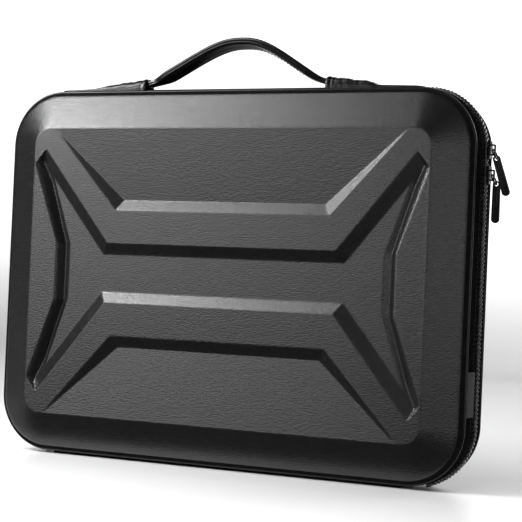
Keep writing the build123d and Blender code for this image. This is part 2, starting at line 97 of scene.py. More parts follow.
class Skin:
    """Mesh under construction: points in millimetres, and blocks of faces with equal corner counts."""

    def __init__(self) -> None:
        """Start with no points and no faces."""
        self.points: list[Array] = []
        self.normals: list[Array] = []
        self.faces: list[Array] = []
        self.count = 0

    def add_points(self, points: Array, normals: Array | None = None) -> Array:
        """Add an array of points.

        Args:
            points: Array of shape (..., 3).
            normals: Unit normals of the same shape, or None.

        Returns:
            The points' numbers, with the shape of the array.
        """
        flat = np.asarray(points, float).reshape(-1, 3)
        index = np.arange(self.count, self.count + len(flat)).reshape(points.shape[:-1])
        self.points.append(flat)
        self.normals.append(np.zeros_like(flat) if normals is None else np.asarray(normals, float).reshape(-1, 3))
        self.count += len(flat)
        return index

    def add_faces(self, faces: Array) -> None:
        """Add a block of faces, one row of point numbers each."""
        self.faces.append(np.asarray(faces, np.int64))

    def add_grid(self, index: Array, wrap_rows: bool = False, wrap_columns: bool = False, flip: bool = False) -> None:
        """Join a grid of numbered points with four-cornered faces.

        Args:
            index: Point numbers, rows by columns.
            wrap_rows: Join the last row to the first.
            wrap_columns: Join the last column to the first.
            flip: Turn the faces round.
        """
        if wrap_rows:
            index = np.concatenate([index, index[:1]], 0)
        if wrap_columns:
            index = np.concatenate([index, index[:, :1]], 1)
        quads = np.stack([index[:-1, :-1], index[:-1, 1:], index[1:, 1:], index[1:, :-1]], -1).reshape(-1, 4)
        self.add_faces(quads[:, ::-1] if flip else quads)

    def add_tube(self, rings: Array, closed: bool = False) -> Array:
        """Add closed rings of points joined one to the next, with flat ends unless it closes on itself.

        Args:
            rings: Array of shape (rings, corners, 3).
            closed: Join the last ring to the first.

        Returns:
            Numbers of the points.
        """
        index = self.add_points(rings)
        self.add_grid(index, wrap_rows=closed, wrap_columns=True)
        if not closed:
            self.add_faces(index[:1, ::-1])
            self.add_faces(index[-1:])
        return index

    def add_copies(self, rings: Array) -> None:
        """Add many closed tubes of the same make at once.

        Args:
            rings: Array of shape (copies, rings, corners, 3).
        """
        index = self.add_points(rings)
        wrapped = np.concatenate([index, index[:, :, :1]], 2)
        corners = [wrapped[:, :-1, :-1], wrapped[:, :-1, 1:], wrapped[:, 1:, 1:], wrapped[:, 1:, :-1]]
        self.add_faces(np.stack(corners, -1).reshape(-1, 4))
        self.add_faces(index[:, 0, ::-1])
        self.add_faces(index[:, -1])

    def build(
        self, name: str, outward: bool = True, keep_normals: bool = False, smooth: float | None = 40.0
    ) -> bpy.types.Object:
        """Write the mesh and its object, in metres, at the origin.

        Args:
            name: Name of the piece.
            outward: Turn all faces of the closed mesh outwards.
            keep_normals: Shade with the normals given with the points.
            smooth: Largest angle shaded smooth, in degrees, or None for flat faces.

        Returns:
            The new object.
        """
        mesh = bpy.data.meshes.new(name)
        points = np.concatenate(self.points) * MM
        corners = np.concatenate([block.ravel() for block in self.faces]).astype(np.int32)
        totals = np.concatenate([np.full(len(block), block.shape[1]) for block in self.faces]).astype(np.int32)
        starts = np.concatenate([[0], np.cumsum(totals)[:-1]]).astype(np.int32)
        mesh.vertices.add(len(points))
        mesh.vertices.foreach_set("co", points.astype(np.float32).ravel())
        mesh.loops.add(len(corners))
        mesh.loops.foreach_set("vertex_index", corners)
        mesh.polygons.add(len(totals))
        mesh.polygons.foreach_set("loop_start", starts)
        mesh.polygons.foreach_set("loop_total", totals)
        mesh.update(calc_edges=True)
        mesh.validate()
        if outward:
            turn_outward(mesh)
        mesh.polygons.foreach_set("use_smooth", np.full(len(mesh.polygons), smooth is not None))
        piece = bpy.data.objects.new(name, mesh)
        bpy.context.scene.collection.objects.link(piece)
        if keep_normals:
            mesh.normals_split_custom_set_from_vertices(np.concatenate(self.normals).tolist())
        elif smooth is not None and smooth < 180:
            mesh.set_sharp_from_angle(angle=math.radians(smooth))
        return piece


def turn_outward(mesh: bpy.types.Mesh) -> None:
    """Turn the faces of a closed mesh outwards."""
    work = bmesh.new()
    work.from_mesh(mesh)
    bmesh.ops.recalc_face_normals(work, faces=work.faces)
    work.to_mesh(mesh)
    work.free()


def smooth_min(a: Array, b: Array, blend: float) -> Array:
    """Lesser of two heights; where they differ by less than the blend, a parabola rounds the crease."""
    share = np.clip(0.5 + 0.5 * (b - a) / blend, 0, 1)
    return b + share * (a - b) - blend * share * (1 - share)


def smooth_max(a: Array, b: Array, blend: float) -> Array:
    """Greater of two heights, rounded in the same way."""
    return -smooth_min(-a, -b, blend)


def ease(value: Array) -> Array:
    """Smooth step: 0 below 0, 1 above 1, and 3 t squared minus 2 t cubed between."""
    t = np.clip(value, 0, 1)
    return t * t * (3 - 2 * t)


def rounded_line(
    corners: Sequence[Sequence[float]], radii: Sequence[float], arc: int = 5, run: int = 3
) -> tuple[Array, Array]:
    """Line through corners, each inner corner replaced by a parabola that starts and ends at its reach.

    Args:
        corners: Corner points, two values each.
        radii: Reach of the rounding along the two sides of each inner corner.
        arc: Points on each rounding.
        run: Points added inside each straight run.

    Returns:
        Points and unit tangents, each of shape (n, 2).
    """
    spots = np.asarray(corners, float)
    points, tangents = [], []
    start = spots[0]
    for number, reach in enumerate(radii, 1):
        before, corner, after = spots[number - 1], spots[number], spots[number + 1]
        inward = (corner - before) / np.linalg.norm(corner - before)
        onward = (after - corner) / np.linalg.norm(after - corner)
        first, last = corner - reach * inward, corner + reach * onward
        share = np.linspace(0, 1, run + 2)[:-1, None]
        points.append(start + share * (first - start))
        tangents.append(np.repeat(inward[None], run + 1, 0))
        t = np.linspace(0, 1, arc + 1)[:-1, None]
        points.append((1 - t) ** 2 * first + 2 * t * (1 - t) * corner + t**2 * last)
        tangents.append((1 - t) * inward + t * onward)
        start = last
    end = spots[-1]
    onward = (end - start) / np.linalg.norm(end - start)
    share = np.linspace(0, 1, run + 2)[:, None]
    points.append(start + share * (end - start))
    tangents.append(np.repeat(onward[None], run + 2, 0))
    tangent = np.concatenate(tangents)
    return np.concatenate(points), tangent / np.linalg.norm(tangent, axis=1, keepdims=True)


def superellipse(half_width: float, half_height: float, power: float, count: int) -> Array:
    """Closed outline: cosine and sine of the angle, each raised to 2 over the power, times the half sizes."""
    angle = np.linspace(0, 2 * np.pi, count, endpoint=False)
    c, s = np.cos(angle), np.sin(angle)
    across = half_width * np.sign(c) * np.abs(c) ** (2 / power)
    up = half_height * np.sign(s) * np.abs(s) ** (2 / power)
    return np.stack([across, up], 1)


def spline(controls: Sequence[Sequence[float]], per_span: int) -> tuple[Array, Array]:
    """Quadratic B-spline: on each span, (1-t)^2/2, (1+2t-2t^2)/2 and t^2/2 weigh three neighbouring controls.

    Args:
        controls: Control points. One more is added at each end, on the line through the last two, so
            the curve starts and ends half a span beyond them.
        per_span: Points on each span.

    Returns:
        Points and unit tangents.
    """
    nodes = np.asarray(controls, float)
    nodes = np.concatenate([2 * nodes[:1] - nodes[1:2], nodes, 2 * nodes[-1:] - nodes[-2:-1]])
    t = np.linspace(0, 1, per_span, endpoint=False)[:, None, None]
    a, b, c = nodes[:-2], nodes[1:-1], nodes[2:]
    points = (1 - t) ** 2 / 2 * a + (1 + 2 * t - 2 * t**2) / 2 * b + t**2 / 2 * c
    points = points.transpose(1, 0, 2).reshape(-1, nodes.shape[1])
    points = np.concatenate([points, [(nodes[-2] + nodes[-1]) / 2]])
    tangent = np.gradient(points, axis=0)
    return points, tangent / np.linalg.norm(tangent, axis=1, keepdims=True)


def carried(profile: Array, origin: Array, side: Array, rise: Array) -> Array:
    """Profile carried along a path: origin plus its first value along side plus its second along rise.

    Args:
        profile: Shape (m, 2), or (n, m, 2) where it changes along the path.
        origin: Shape (n, 3).
        side: Shape (n, 3).
        rise: Shape (n, 3).

    Returns:
        Points of shape (n, m, 3).
    """
    shape = profile if profile.ndim == 3 else profile[None]
    return origin[:, None] + shape[..., :1] * side[:, None] + shape[..., 1:] * rise[:, None]


# ---------------------------------------------------------------- finishes


class Nodes:
    """Node tree of a material, written with few words."""

    def __init__(self, name: str) -> None:
        """Make the material with its shader and object coordinates."""
        self.material = bpy.data.materials.new(name)
        self.material.use_nodes = True
        self.tree = self.material.node_tree
        self.shader = self.tree.nodes["Principled BSDF"]
        self.place = self.add("ShaderNodeTexCoord").outputs["Object"]

    def add(self, kind: str, **values: object) -> bpy.types.Node:
        """Add a node and set its settings or its input sockets: by name, or _0, _1 by the socket's number."""
        node = self.tree.nodes.new(kind)
        for name, value in values.items():
            if hasattr(node, name):
                setattr(node, name, value)
            else:
                key = int(name[1:]) if name[1:].isdigit() else name.replace("_", " ")
                self.set(node.inputs[key], value)
        return node

    def set(self, socket: bpy.types.NodeSocket, value: object) -> None:
        """Link or set one input socket."""
        if isinstance(value, bpy.types.NodeSocket):
            self.tree.links.new(value, socket)
        else:
            socket.default_value = value

    def scaled(self, scale: Sequence[float], turn: Sequence[float] = (0, 0, 0)) -> bpy.types.NodeSocket:
        """Object coordinates times a scale, turned first."""
        return self.add("ShaderNodeMapping", Vector=self.place, Scale=scale, Rotation=turn).outputs[0]

    def noise(self, scale: Sequence[float], detail: float = 3.0, rough: float = 0.55) -> bpy.types.NodeSocket:
        """Noise between 0 and 1 with its own scale along each axis, per metre."""
        place = self.scaled(scale)
        return self.add("ShaderNodeTexNoise", Vector=place, Scale=1.0, Detail=detail, Roughness=rough).outputs["Fac"]

    def cells(self, per_metre: float) -> bpy.types.NodeSocket:
        """Distance from the nearest middle in a pattern of cells."""
        place = self.scaled((per_metre,) * 3)
        return self.add("ShaderNodeTexVoronoi", Vector=place, Scale=1.0).outputs["Distance"]

    def math(self, operation: str, a: object, b: object = 0.0, clamp: bool = False) -> bpy.types.NodeSocket:
        """One sum on one or two values."""
        return self.add("ShaderNodeMath", operation=operation, use_clamp=clamp, _0=a, _1=b).outputs[0]

    def remap(
        self, value: bpy.types.NodeSocket, low: float, high: float, start: float = 0.0, end: float = 1.0
    ) -> bpy.types.NodeSocket:
        """Value from low..high carried to start..end, clamped."""
        node = self.add("ShaderNodeMapRange", Value=value, From_Min=low, From_Max=high, To_Min=start, To_Max=end)
        return node.outputs["Result"]

    def mix(self, share: object, first: Sequence[float], second: Sequence[float]) -> bpy.types.NodeSocket:
        """Mix of two colours."""
        node = self.add("ShaderNodeMix", data_type="RGBA")
        self.set(node.inputs["Factor"], share)
        self.set(node.inputs[6], colour(first))
        self.set(node.inputs[7], colour(second))
        return node.outputs[2]

    def bump(
        self,
        height: bpy.types.NodeSocket,
        depth_mm: float,
        strength: float = 1.0,
        under: bpy.types.NodeSocket | None = None,
    ) -> bpy.types.NodeSocket:
        """Bumped normal from a height between 0 and 1."""
        node = self.add("ShaderNodeBump", Height=height, Distance=depth_mm * MM, Strength=strength)
        if under is not None:
            self.set(node.inputs["Normal"], under)
        return node.outputs[0]

    def dress(self, **values: object) -> bpy.types.Material:
        """Set the shader's sockets by name and return the material."""
        for name, value in values.items():
            self.set(self.shader.inputs[name.replace("_", " ")], colour(value))
        return self.material


def colour(value: object) -> object:
    """Three values as a colour with full alpha; anything else stays as it is."""
    if isinstance(value, tuple) and len(value) == 3:
        return (*value, 1.0)
    return value


@dataclass(frozen=True)
class Leatherette:
    """Satin leatherette over a moulding: fine lines along X, small pebbles and a soft gloss."""

    name: str = "shell_skin"
    dark: tuple = (0.003, 0.003, 0.0032)
    light: tuple = (0.014, 0.014, 0.0145)
    roughness: tuple = (0.12, 0.24)
    specular: float = 0.5
    grain_depth: float = 0.12
    pebble_depth: float = 0.03

    def material(self) -> bpy.types.Material:
        """Build the node material."""
        n = Nodes(self.name)
        lines = n.noise((280, 1000, 1000), 5.0, 0.65)
        patches = n.noise((9, 9, 9), 2.0)
        pebbles = n.cells(1500)
        mark = n.remap(lines, 0.3, 0.7)
        first = n.bump(mark, self.grain_depth)
        second = n.bump(n.remap(pebbles, 0.0, 0.7), self.pebble_depth, under=first)
        tone = n.math("ADD", n.math("MULTIPLY", mark, 0.7), n.math("MULTIPLY", patches, 0.3), clamp=True)
        return n.dress(
            Base_Color=n.mix(tone, self.dark, self.light),
            Roughness=n.remap(tone, 0.1, 0.9, *self.roughness),
            Normal=second,
            Specular_IOR_Level=self.specular,
        )


@dataclass(frozen=True)
class SmoothLeather:
    """Glossy coated leather with fine pebbles and creases that run across a strap."""

    name: str = "handle_leather"
    dark: tuple = (0.003, 0.003, 0.0032)
    light: tuple = (0.006, 0.006, 0.0064)
    roughness: tuple = (0.08, 0.16)
    crease_scale: tuple = (260, 90, 90)
    crease_depth: float = 0.04
    specular: float = 0.05

    def material(self) -> bpy.types.Material:
        """Build the node material."""
        n = Nodes(self.name)
        creases = n.noise(self.crease_scale, 5.0, 0.6)
        pebbles = n.cells(1300)
        first = n.bump(n.remap(creases, 0.35, 0.65), self.crease_depth)
        second = n.bump(n.remap(pebbles, 0, 0.7), 0.03, under=first)
        tone = n.remap(creases, 0.3, 0.7)
        return n.dress(
            Base_Color=n.mix(tone, self.dark, self.light),
            Roughness=n.remap(tone, 0, 1, *self.roughness),
            Normal=second,
            Specular_IOR_Level=self.specular,
        )


@dataclass(frozen=True)
class Woven:
    """Woven tape or elastic: crossing threads, with painted shade that darkens the gaps between them."""

    name: str
    dark: tuple
    light: tuple
    threads: float = 900.0
    depth: float = 0.12
    roughness: float = 0.75
    sheen: float = 0.25
    turns: tuple = (((0, 0.6, 0.5), "X"), ((0.4, 0, -0.6), "Z"))
    open_net: bool = False

    def material(self) -> bpy.types.Material:
        """Build the node material: the greater of two sine waves, open between the threads on a net."""
        n = Nodes(self.name)
        waves = []
        for turn, axis in self.turns:
            place = n.scaled((self.threads,) * 3, turn)
            wave = n.add("ShaderNodeTexWave", Vector=place, Scale=1.0, Distortion=0.4, bands_direction=axis)
            waves.append(wave.outputs["Fac"])
        height = n.math("MAXIMUM", *waves)
        fuzz = n.noise((1400, 1400, 1400), 2.0)
        # painted shade: the base colour follows the threads' height, so the gaps between the threads come out darker
        shade = n.math("MULTIPLY", height, n.remap(fuzz, 0.2, 0.8, 0.6, 1.0))
        if self.open_net:
            n.set(n.shader.inputs["Alpha"], n.remap(height, 0.55, 0.68))
        return n.dress(
            Base_Color=n.mix(shade, self.dark, self.light),
            Roughness=self.roughness,
            Sheen_Weight=self.sheen,
            Normal=n.bump(shade, self.depth),
        )


@dataclass(frozen=True)
class Fleece:
    """Short pile lining: soft tufts and a sheen."""

    name: str = "lining_fleece"
    dark: tuple = (0.035, 0.036, 0.038)
    light: tuple = (0.085, 0.087, 0.092)

    def material(self) -> bpy.types.Material:
        """Build the node material."""
        n = Nodes(self.name)
        tufts = n.noise((900, 900, 900), 4.0, 0.7)
        waves = n.noise((60, 60, 60), 3.0)
        shade = n.math("ADD", n.math("MULTIPLY", tufts, 0.65), n.math("MULTIPLY", waves, 0.35))
        return n.dress(
            Base_Color=n.mix(n.remap(shade, 0.35, 0.65), self.dark, self.light),
            Roughness=0.92,
            Sheen_Weight=0.6,
            Sheen_Roughness=0.4,
            Normal=n.bump(tufts, 0.5, 0.7),
        )


@dataclass(frozen=True)
class Coated:
    """Lacquered metal or moulded resin: even gloss with faint wear."""

    name: str
    dark: tuple
    light: tuple
    roughness: tuple = (0.2, 0.34)
    metallic: float = 0.0
    specular: float = 0.5

    def material(self) -> bpy.types.Material:
        """Build the node material."""
        n = Nodes(self.name)
        wear = n.noise((420, 420, 420), 4.0, 0.6)
        tone = n.remap(wear, 0.4, 0.68)
        return n.dress(
            Base_Color=n.mix(tone, self.dark, self.light),
            Roughness=n.remap(wear, 0.3, 0.7, *self.roughness),
            Metallic=self.metallic,
            Specular_IOR_Level=self.specular,
            Normal=n.bump(wear, 0.02),
        )


class Finishes:
    """Every finish of the case, made once and shared."""

    # finishes that have no slot of their own in the record
    on_handle: tuple = ("sewing_thread", "sleeve_leather", "edge_paint")

    def __init__(self) -> None:
        """Build the materials: one for each slot of the record, and the three that share the handle's."""
        black = (0.004, 0.004, 0.004)
        along_and_across = (((0, 0, 0), "X"), ((0, 0.05, 0), "Z"))
        diagonal = (((0, 0.785, 0), "X"), ((0, 0.785, 0), "Z"))
        made = [
            Leatherette(),
            SmoothLeather("band_leather", black, (0.009,) * 3, (0.5, 0.62), (160,) * 3, 0.04, specular=0.0),
            SmoothLeather(
                "piping_leather", roughness=(0.16, 0.24), crease_scale=(200,) * 3, crease_depth=0.03, specular=0.3
            ),
            SmoothLeather(),
            SmoothLeather(
                "sleeve_leather", roughness=(0.12, 0.2), crease_scale=(110, 240, 240), crease_depth=0.22, specular=0.26
            ),
            SmoothLeather(
                "edge_paint", roughness=(0.12, 0.16), crease_scale=(200,) * 3, crease_depth=0.01, specular=0.55
            ),
            Fleece(),
            Woven("zip_tape", black, (0.02, 0.02, 0.021), threads=1300),
            Coated("zip_teeth", (0.05, 0.05, 0.052), (0.16, 0.16, 0.165), roughness=(0.14, 0.26), metallic=0.85),
            Woven("elastic", (0.006,) * 3, (0.035, 0.035, 0.037), threads=230, depth=0.35, turns=along_and_across),
            Woven("pocket_net", black, (0.03, 0.03, 0.032), threads=125, depth=0.3, turns=diagonal, open_net=True),
            Woven("tag_fabric", black, (0.014, 0.014, 0.0145), threads=1500, depth=0.06, sheen=0.05),
            Coated(
                "slider_metal", (0.004, 0.004, 0.0045), (0.012, 0.012, 0.0125), roughness=(0.16, 0.26), specular=0.07
            ),
            SmoothLeather(
                "sewing_thread", (0.012,) * 3, (0.035,) * 3, (0.4, 0.6), crease_scale=(1500,) * 3, crease_depth=0.05
            ),
        ]
        self.materials = {finish.name: finish.material() for finish in made}

    def put(self, piece: bpy.types.Object, name: str) -> bpy.types.Object:
        """Give a piece one finish in its material slots."""
        material = self.materials[name]
        if piece.material_slots:
            for slot in piece.material_slots:
                slot.link = "OBJECT"
                slot.material = material
        else:
            piece.data.materials.append(material)
        return piece

    def dressed(self, piece: bpy.types.Object, name: str, body: str, *nodes: str) -> bpy.types.Object:
        """Give a piece one finish, let it ride on a body and stand for the given nodes.

        Args:
            piece: The piece.
            name: Name of its finish.
            body: Name of its body.
            nodes: Names of the CAD nodes that it replaces, if any.

        Returns:
            The piece.
        """
        self.put(piece, name)
        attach(piece, body)
        if nodes:
            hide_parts(*nodes)
        return piece


# ---------------------------------------------------------------- outline of the case


@dataclass(frozen=True)
class Outline:
    """Rounded outline of the case at the zip plane, and the places round it."""

    half_width: float = 199.4
    half_height: float = 147.4
    radius: float = 45.2
    centre_z: float = 148.6

    @property
    def core(self) -> tuple[float, float]:
        """Half sizes of the rectangle through the centres of the four corners."""
        return self.half_width - self.radius, self.half_height - self.radius

    def length(self, inset: float = 0.0) -> float:
        """Way once round at an inset."""
        return 4 * sum(self.core) + 2 * math.pi * (self.radius - inset)

    def place(self, way: Array, inset: float = 0.0) -> tuple[Array, Array]:
        """Place at a way round, from the middle of the top towards +X.

        On a straight side the core point moves and the direction stays; in a corner the core point
        stays and the direction turns. Both are linear in the way, so each is one interpolation.

        Args:
            way: Distances round the outline at the inset, in millimetres.
            inset: Distance inside the outline.

        Returns:
            Core points (n, 2) and outward unit directions (n, 2), in X and Z.
        """
        a, b = self.core
        quarter = math.pi / 2 * (self.radius - inset)
        steps = [0, a, quarter, 2 * b, quarter, 2 * a, quarter, 2 * b, quarter, a]
        marks = np.cumsum(steps)
        xs = [0, a, a, a, a, -a, -a, -a, -a, 0]
        zs = [b, b, b, -b, -b, -b, -b, b, b, b]
        angles = np.radians([90, 90, 0, 0, -90, -90, -180, -180, -270, -270])
        way = np.mod(way, marks[-1])
        angle = np.interp(way, marks, angles)
        core = np.stack([np.interp(way, marks, xs), np.interp(way, marks, zs)], 1)
        return core, np.stack([np.cos(angle), np.sin(angle)], 1)

    def even(self, count: int, inset: float = 0.0, corner_share: float = 2.5) -> Array:
        """Ways once round, closer together in the corners.

        Args:
            count: Number of ways.
            inset: Distance inside the outline.
            corner_share: How many times closer they lie in the corners.

        Returns:
            The ways.
        """
        fine = np.linspace(0, self.length(inset), 20001)
        _, out = self.place(fine, inset)
        corner = (np.abs(out).max(1) < 0.99999).astype(float)
        weight = np.concatenate([[0], np.cumsum(1 + (corner_share - 1) * corner[:-1])])
        return np.interp(np.linspace(0, weight[-1], count, endpoint=False), weight, fine)

    def swept(self, profile: Array, core: Array, out: Array, facing: Facing) -> Array:
        """Profile of insets and depths carried round the outline.

        A point lies at the core point plus (radius minus inset) times the outward direction, and its
        Y is the depth times the sign of the half.

        Args:
            profile: Insets and depths, shape (m, 2) or (n, m, 2).
            core: Core points (n, 2).
            out: Outward directions (n, 2).
            facing: Which half.

        Returns:
            Points of shape (n, m, 3).
        """
        shape = np.broadcast_to(profile, (len(core), *profile.shape[-2:]))
        reach = self.radius - shape[..., 0]
        x = core[:, None, 0] + reach * out[:, None, 0]
        z = self.centre_z + core[:, None, 1] + reach * out[:, None, 1]
        return np.stack([x, facing.value * shape[..., 1], z], -1)


# ---------------------------------------------------------------- moulded shells


@dataclass
class MouldedShell:
    """Pressed leatherette skin of one half: panel with its pattern, bevel, rim, and the wall's inside."""

    facing: Facing
    outline: Outline
    half_depth: float = 34.0
    wall: float = 3.2
    face: tuple = (5.2, 23.3)
    rim: tuple = (1.9, 20.3)
    seam_depth: float = 18.3
    panel_core: tuple = (155.0, 101.5)
    panel_radius: float = 14.0
    edge_roll: float = 1.1
    crease: float = 0.4
    wedge_roll: float = 2.6
    cells: tuple = (268, 176, 10)
    coarse: int = 4  # cells of the outside to one cell of the wall's inside
    panel_margin: tuple = (0.3, 2.2)  # flat border of the panel, and the way over which the pressing fades to it
    slope_step: float = 0.12  # half the way over which a slope is taken
    matt_below: float = 0.35  # the rim is matt from this far behind the bevel's outer edge

    # pressed pattern: places (x, z) from the middle of the panel, in one quarter
    strip_floor: float = 15.2
    strip_edge: float = 23.4
    bed: float = 5.0
    groove: float = 7.2
    arm: tuple = ((97.7, 23.4), (158.5, 98.0), (103.5, 15.2))
    arm_end: tuple = ((158.5, 98.0), (167.6, 87.0), (159.69, 92.125))
    wedge: tuple = ((144.4, 23.0), (167.6, 87.0))
    groove_line: tuple = ((139.4, 22.6), (160.4, 88.6))
    plateau: tuple = ((134.6, 22.0), (155.6, 83.0))
    slope_edge: float = 115.5
    slope_floor: float = 58.2
    band_edge: float = 50.0
    slope_side: tuple = ((151.5, 115.5), (91.5, 50.0), (86.5, 58.2))

    @staticmethod
    def _plane(places: Sequence[Sequence[float]], depth: float) -> Callable[[Array, Array], Array]:
        """Depth that is 0 at the first two places and the given depth at the third, linear in x and z."""
        matrix = np.array([[1, *place] for place in places], float)
        a, b, c = np.linalg.solve(matrix, [0, 0, depth])
        return lambda x, z: a + b * x + c * z

    @staticmethod
    def _beside(line: tuple, x: Array, z: Array) -> tuple[Array, Array]:
        """Share along a line, and distance to the right of it when looking along it."""
        start, end = np.array(line, float)
        way = end - start
        length = np.hypot(*way)
        share = ((x - start[0]) * way[0] + (z - start[1]) * way[1]) / length**2
        right = ((x - start[0]) * way[1] - (z - start[1]) * way[0]) / length
        return np.clip(share, 0, 1), right

    def pressing(self, x: Array, z: Array) -> Array:
        """Depth of the pressing below the panel.

        The bed is the least of its walls and its floor: the strip's wall joined to the arm's by the
        greater of the two, the wedge's upright wall joined to its slanting one, the end wall, and the
        floor with the V groove in it. The sloping bed above is the least of three planes. The pressing
        is the greater of the two beds and zero, every crease rounded.

        Args:
            x: Distances from the middle of the panel along X.
            z: Distances from the middle of the panel along Z.

        Returns:
            Depths in millimetres.
        """
        x, z, k = np.abs(x), np.abs(z), self.crease
        strip = (self.strip_edge - z) * self.bed / (self.strip_edge - self.strip_floor)
        sides = smooth_max(strip, self._plane(self.arm, self.bed)(x, z), k)
        corner = self.wedge[0]
        share, right = self._beside(self.wedge, x, z)
        widths = [self._beside(self.wedge, *place)[1] for place in self.groove_line]
        slant = -right * self.groove / -(widths[0] + (widths[1] - widths[0]) * share)
        upright = (corner[0] - x) * self.groove / (corner[0] - self.groove_line[0][0])
        wall = smooth_max(smooth_max(upright, slant, k), 0 * x, self.wedge_roll)
        share, right = self._beside(self.plateau, x, z)
        widths = [self._beside(self.plateau, *place)[1] for place in self.groove_line]
        deeper = self.groove - self.bed
        inner_slant = right * deeper / (widths[0] + (widths[1] - widths[0]) * share)
        inner_upright = (x - self.plateau[0][0]) * deeper / (self.groove_line[0][0] - self.plateau[0][0])
        floor = self.bed + smooth_max(smooth_min(inner_upright, inner_slant, k), 0 * x, k)
        end = self._plane(self.arm_end, self.bed)(x, z)
        bed = smooth_min(smooth_min(sides, wall, k), smooth_min(end, floor, k), k)
        slope = (self.slope_edge - z) * self.bed / (self.slope_edge - self.slope_floor)
        band = (z - self.band_edge) * self.bed / (self.slope_floor - self.band_edge)
        upper = smooth_min(smooth_min(slope, band, k), self._plane(self.slope_side, self.bed)(x, z), k)
        pressed = smooth_max(np.maximum(bed, upper), 0 * x, k)
        near = np.hypot(*(np.maximum(a - c, 0) for a, c in zip((x, z), self.panel_core)))
        sides_away = (c + self.panel_radius - a for a, c in zip((x, z), self.panel_core))
        edge = np.where(near > 0, self.panel_radius - near, np.minimum(*sides_away))
        flat, fade = self.panel_margin
        return pressed * ease((edge - flat) / fade)

    def square(self) -> tuple[Array, Array]:
        """Core points and inner directions of the panel's grid.

        Rows and columns are even; the square at each corner is bent to a quarter disc: (a, b) goes to
        (a sqrt(1 - b^2/2), b sqrt(1 - a^2/2)).
        """
        across, up, turn = self.cells
        lines = []
        for c, n in zip(self.panel_core, (across, up)):
            before, after = -c - np.linspace(1, 0, turn, endpoint=False), c + np.linspace(0, 1, turn + 1)[1:]
            lines.append(np.concatenate([before, np.linspace(-c, c, n + 1), after]))
        x, z = np.meshgrid(*lines)
        core = np.stack([np.clip(a, -c, c) for a, c in zip((x, z), self.panel_core)], -1)
        a, b = x - core[..., 0], z - core[..., 1]
        return core, np.stack([a * np.sqrt(1 - b**2 / 2), b * np.sqrt(1 - a**2 / 2)], -1)

    @staticmethod
    def border(grid: Array) -> Array:
        """Values of a grid once round its border."""
        return np.concatenate([grid[0, :-1], grid[:-1, -1], grid[-1, :0:-1], grid[:0:-1, 0]])

    def ring(self, core: Array, out: Array, reach: Array, depth: Array) -> Array:
        """Border directions carried through a row of reaches and depths.

        Between the panel's edge and the bevel's outer edge the core point moves from the panel's to
        the outline's, in proportion to the reach.
        """
        outer = core * (np.array(self.outline.core) / self.panel_core)
        span = self.outline.radius - self.face[0] - self.panel_radius
        share = np.clip((reach - self.panel_radius) / span, 0, 1)[None, :, None]
        flat = core[:, None] * (1 - share) + outer[:, None] * share + reach[None, :, None] * out[:, None]
        y = self.facing.value * np.broadcast_to(depth, flat.shape[:2])
        return np.stack([flat[..., 0], y, flat[..., 1] + self.outline.centre_z], -1)

    def outside(self, skin: Skin, core: Array, out: Array) -> Array:
        """Add the panel, bevel and rim, and return the point numbers from the panel's border to the seam."""
        sign, flip = self.facing.value, self.facing is Facing.REAR
        flat = core + (self.panel_radius - self.edge_roll) * out
        x, z = flat[..., 0], flat[..., 1]
        step = self.slope_step
        drop = self.pressing(x, z)
        slope_x = (self.pressing(x + step, z) - self.pressing(x - step, z)) / (2 * step)
        slope_z = (self.pressing(x, z + step) - self.pressing(x, z - step)) / (2 * step)
        points = np.stack([x, sign * (self.half_depth - drop), z + self.outline.centre_z], -1)
        normals = np.stack([slope_x, np.full_like(x, float(sign)), slope_z], -1)
        normals /= np.linalg.norm(normals, axis=-1, keepdims=True)
        panel = skin.add_points(points, normals)
        skin.add_grid(panel, flip=flip)

        radius = self.outline.radius
        corners = [
            (self.panel_radius - self.edge_roll, self.half_depth),
            (self.panel_radius, self.half_depth),
            (radius - self.face[0], self.face[1]),
            (radius - self.rim[0], self.rim[1]),
            (radius - self.rim[0], self.seam_depth),
        ]
        line, tangent = rounded_line(corners, (self.edge_roll * 0.98, 2.0, 0.9), arc=5, run=2)
        line, tangent = line[3:], tangent[3:]  # the first run lies inside the panel's grid
        edge_core, edge_out = self.border(core), self.border(out)
        ring = self.ring(edge_core, edge_out, line[:, 0], line[:, 1])
        normal = np.stack([-tangent[:, 1], tangent[:, 0]], 1)
        ring_normals = np.stack([
            edge_out[:, None, 0] * normal[None, :, 0],
            np.broadcast_to(sign * normal[None, :, 1], ring.shape[:2]),
            edge_out[:, None, 1] * normal[None, :, 0],
        ], -1)
        index = skin.add_points(ring[:, 1:], ring_normals[:, 1:])
        outer = np.concatenate([self.border(panel)[:, None], index], 1)
        skin.add_grid(outer, wrap_rows=True, flip=not flip)
        return outer

    def inside(self, skin: Skin, core: Array, out: Array) -> Array:
        """Add the wall's inside on a coarser grid, and return the point numbers of its edge."""
        sign, flip, radius = self.facing.value, self.facing is Facing.REAR, self.outline.radius
        inner_core, inner_out = core[:: self.coarse, :: self.coarse], out[:: self.coarse, :: self.coarse]
        inner_line = np.array([
            (radius - self.rim[0] - self.wall, self.seam_depth),
            (radius - self.rim[0] - self.wall, self.rim[1]),
            (radius - self.face[0] - self.wall, self.face[1] - 0.7),
            (self.panel_radius - 1.3, self.half_depth - self.wall),
        ])
        in_core, in_out = self.border(inner_core), self.border(inner_out)
        inner = skin.add_points(self.ring(in_core, in_out, inner_line[:, 0], inner_line[:, 1]))
        flat = inner_core + inner_line[-1, 0] * inner_out
        x, z = flat[..., 0], flat[..., 1]
        depth = self.half_depth - self.wall - self.pressing(x, z)
        back = skin.add_points(np.stack([x, sign * depth, z + self.outline.centre_z], -1))
        skin.add_grid(back, flip=not flip)
        skin.add_grid(np.concatenate([inner, self.border(back)[:, None]], 1), wrap_rows=True, flip=not flip)
        return inner[:, 0]

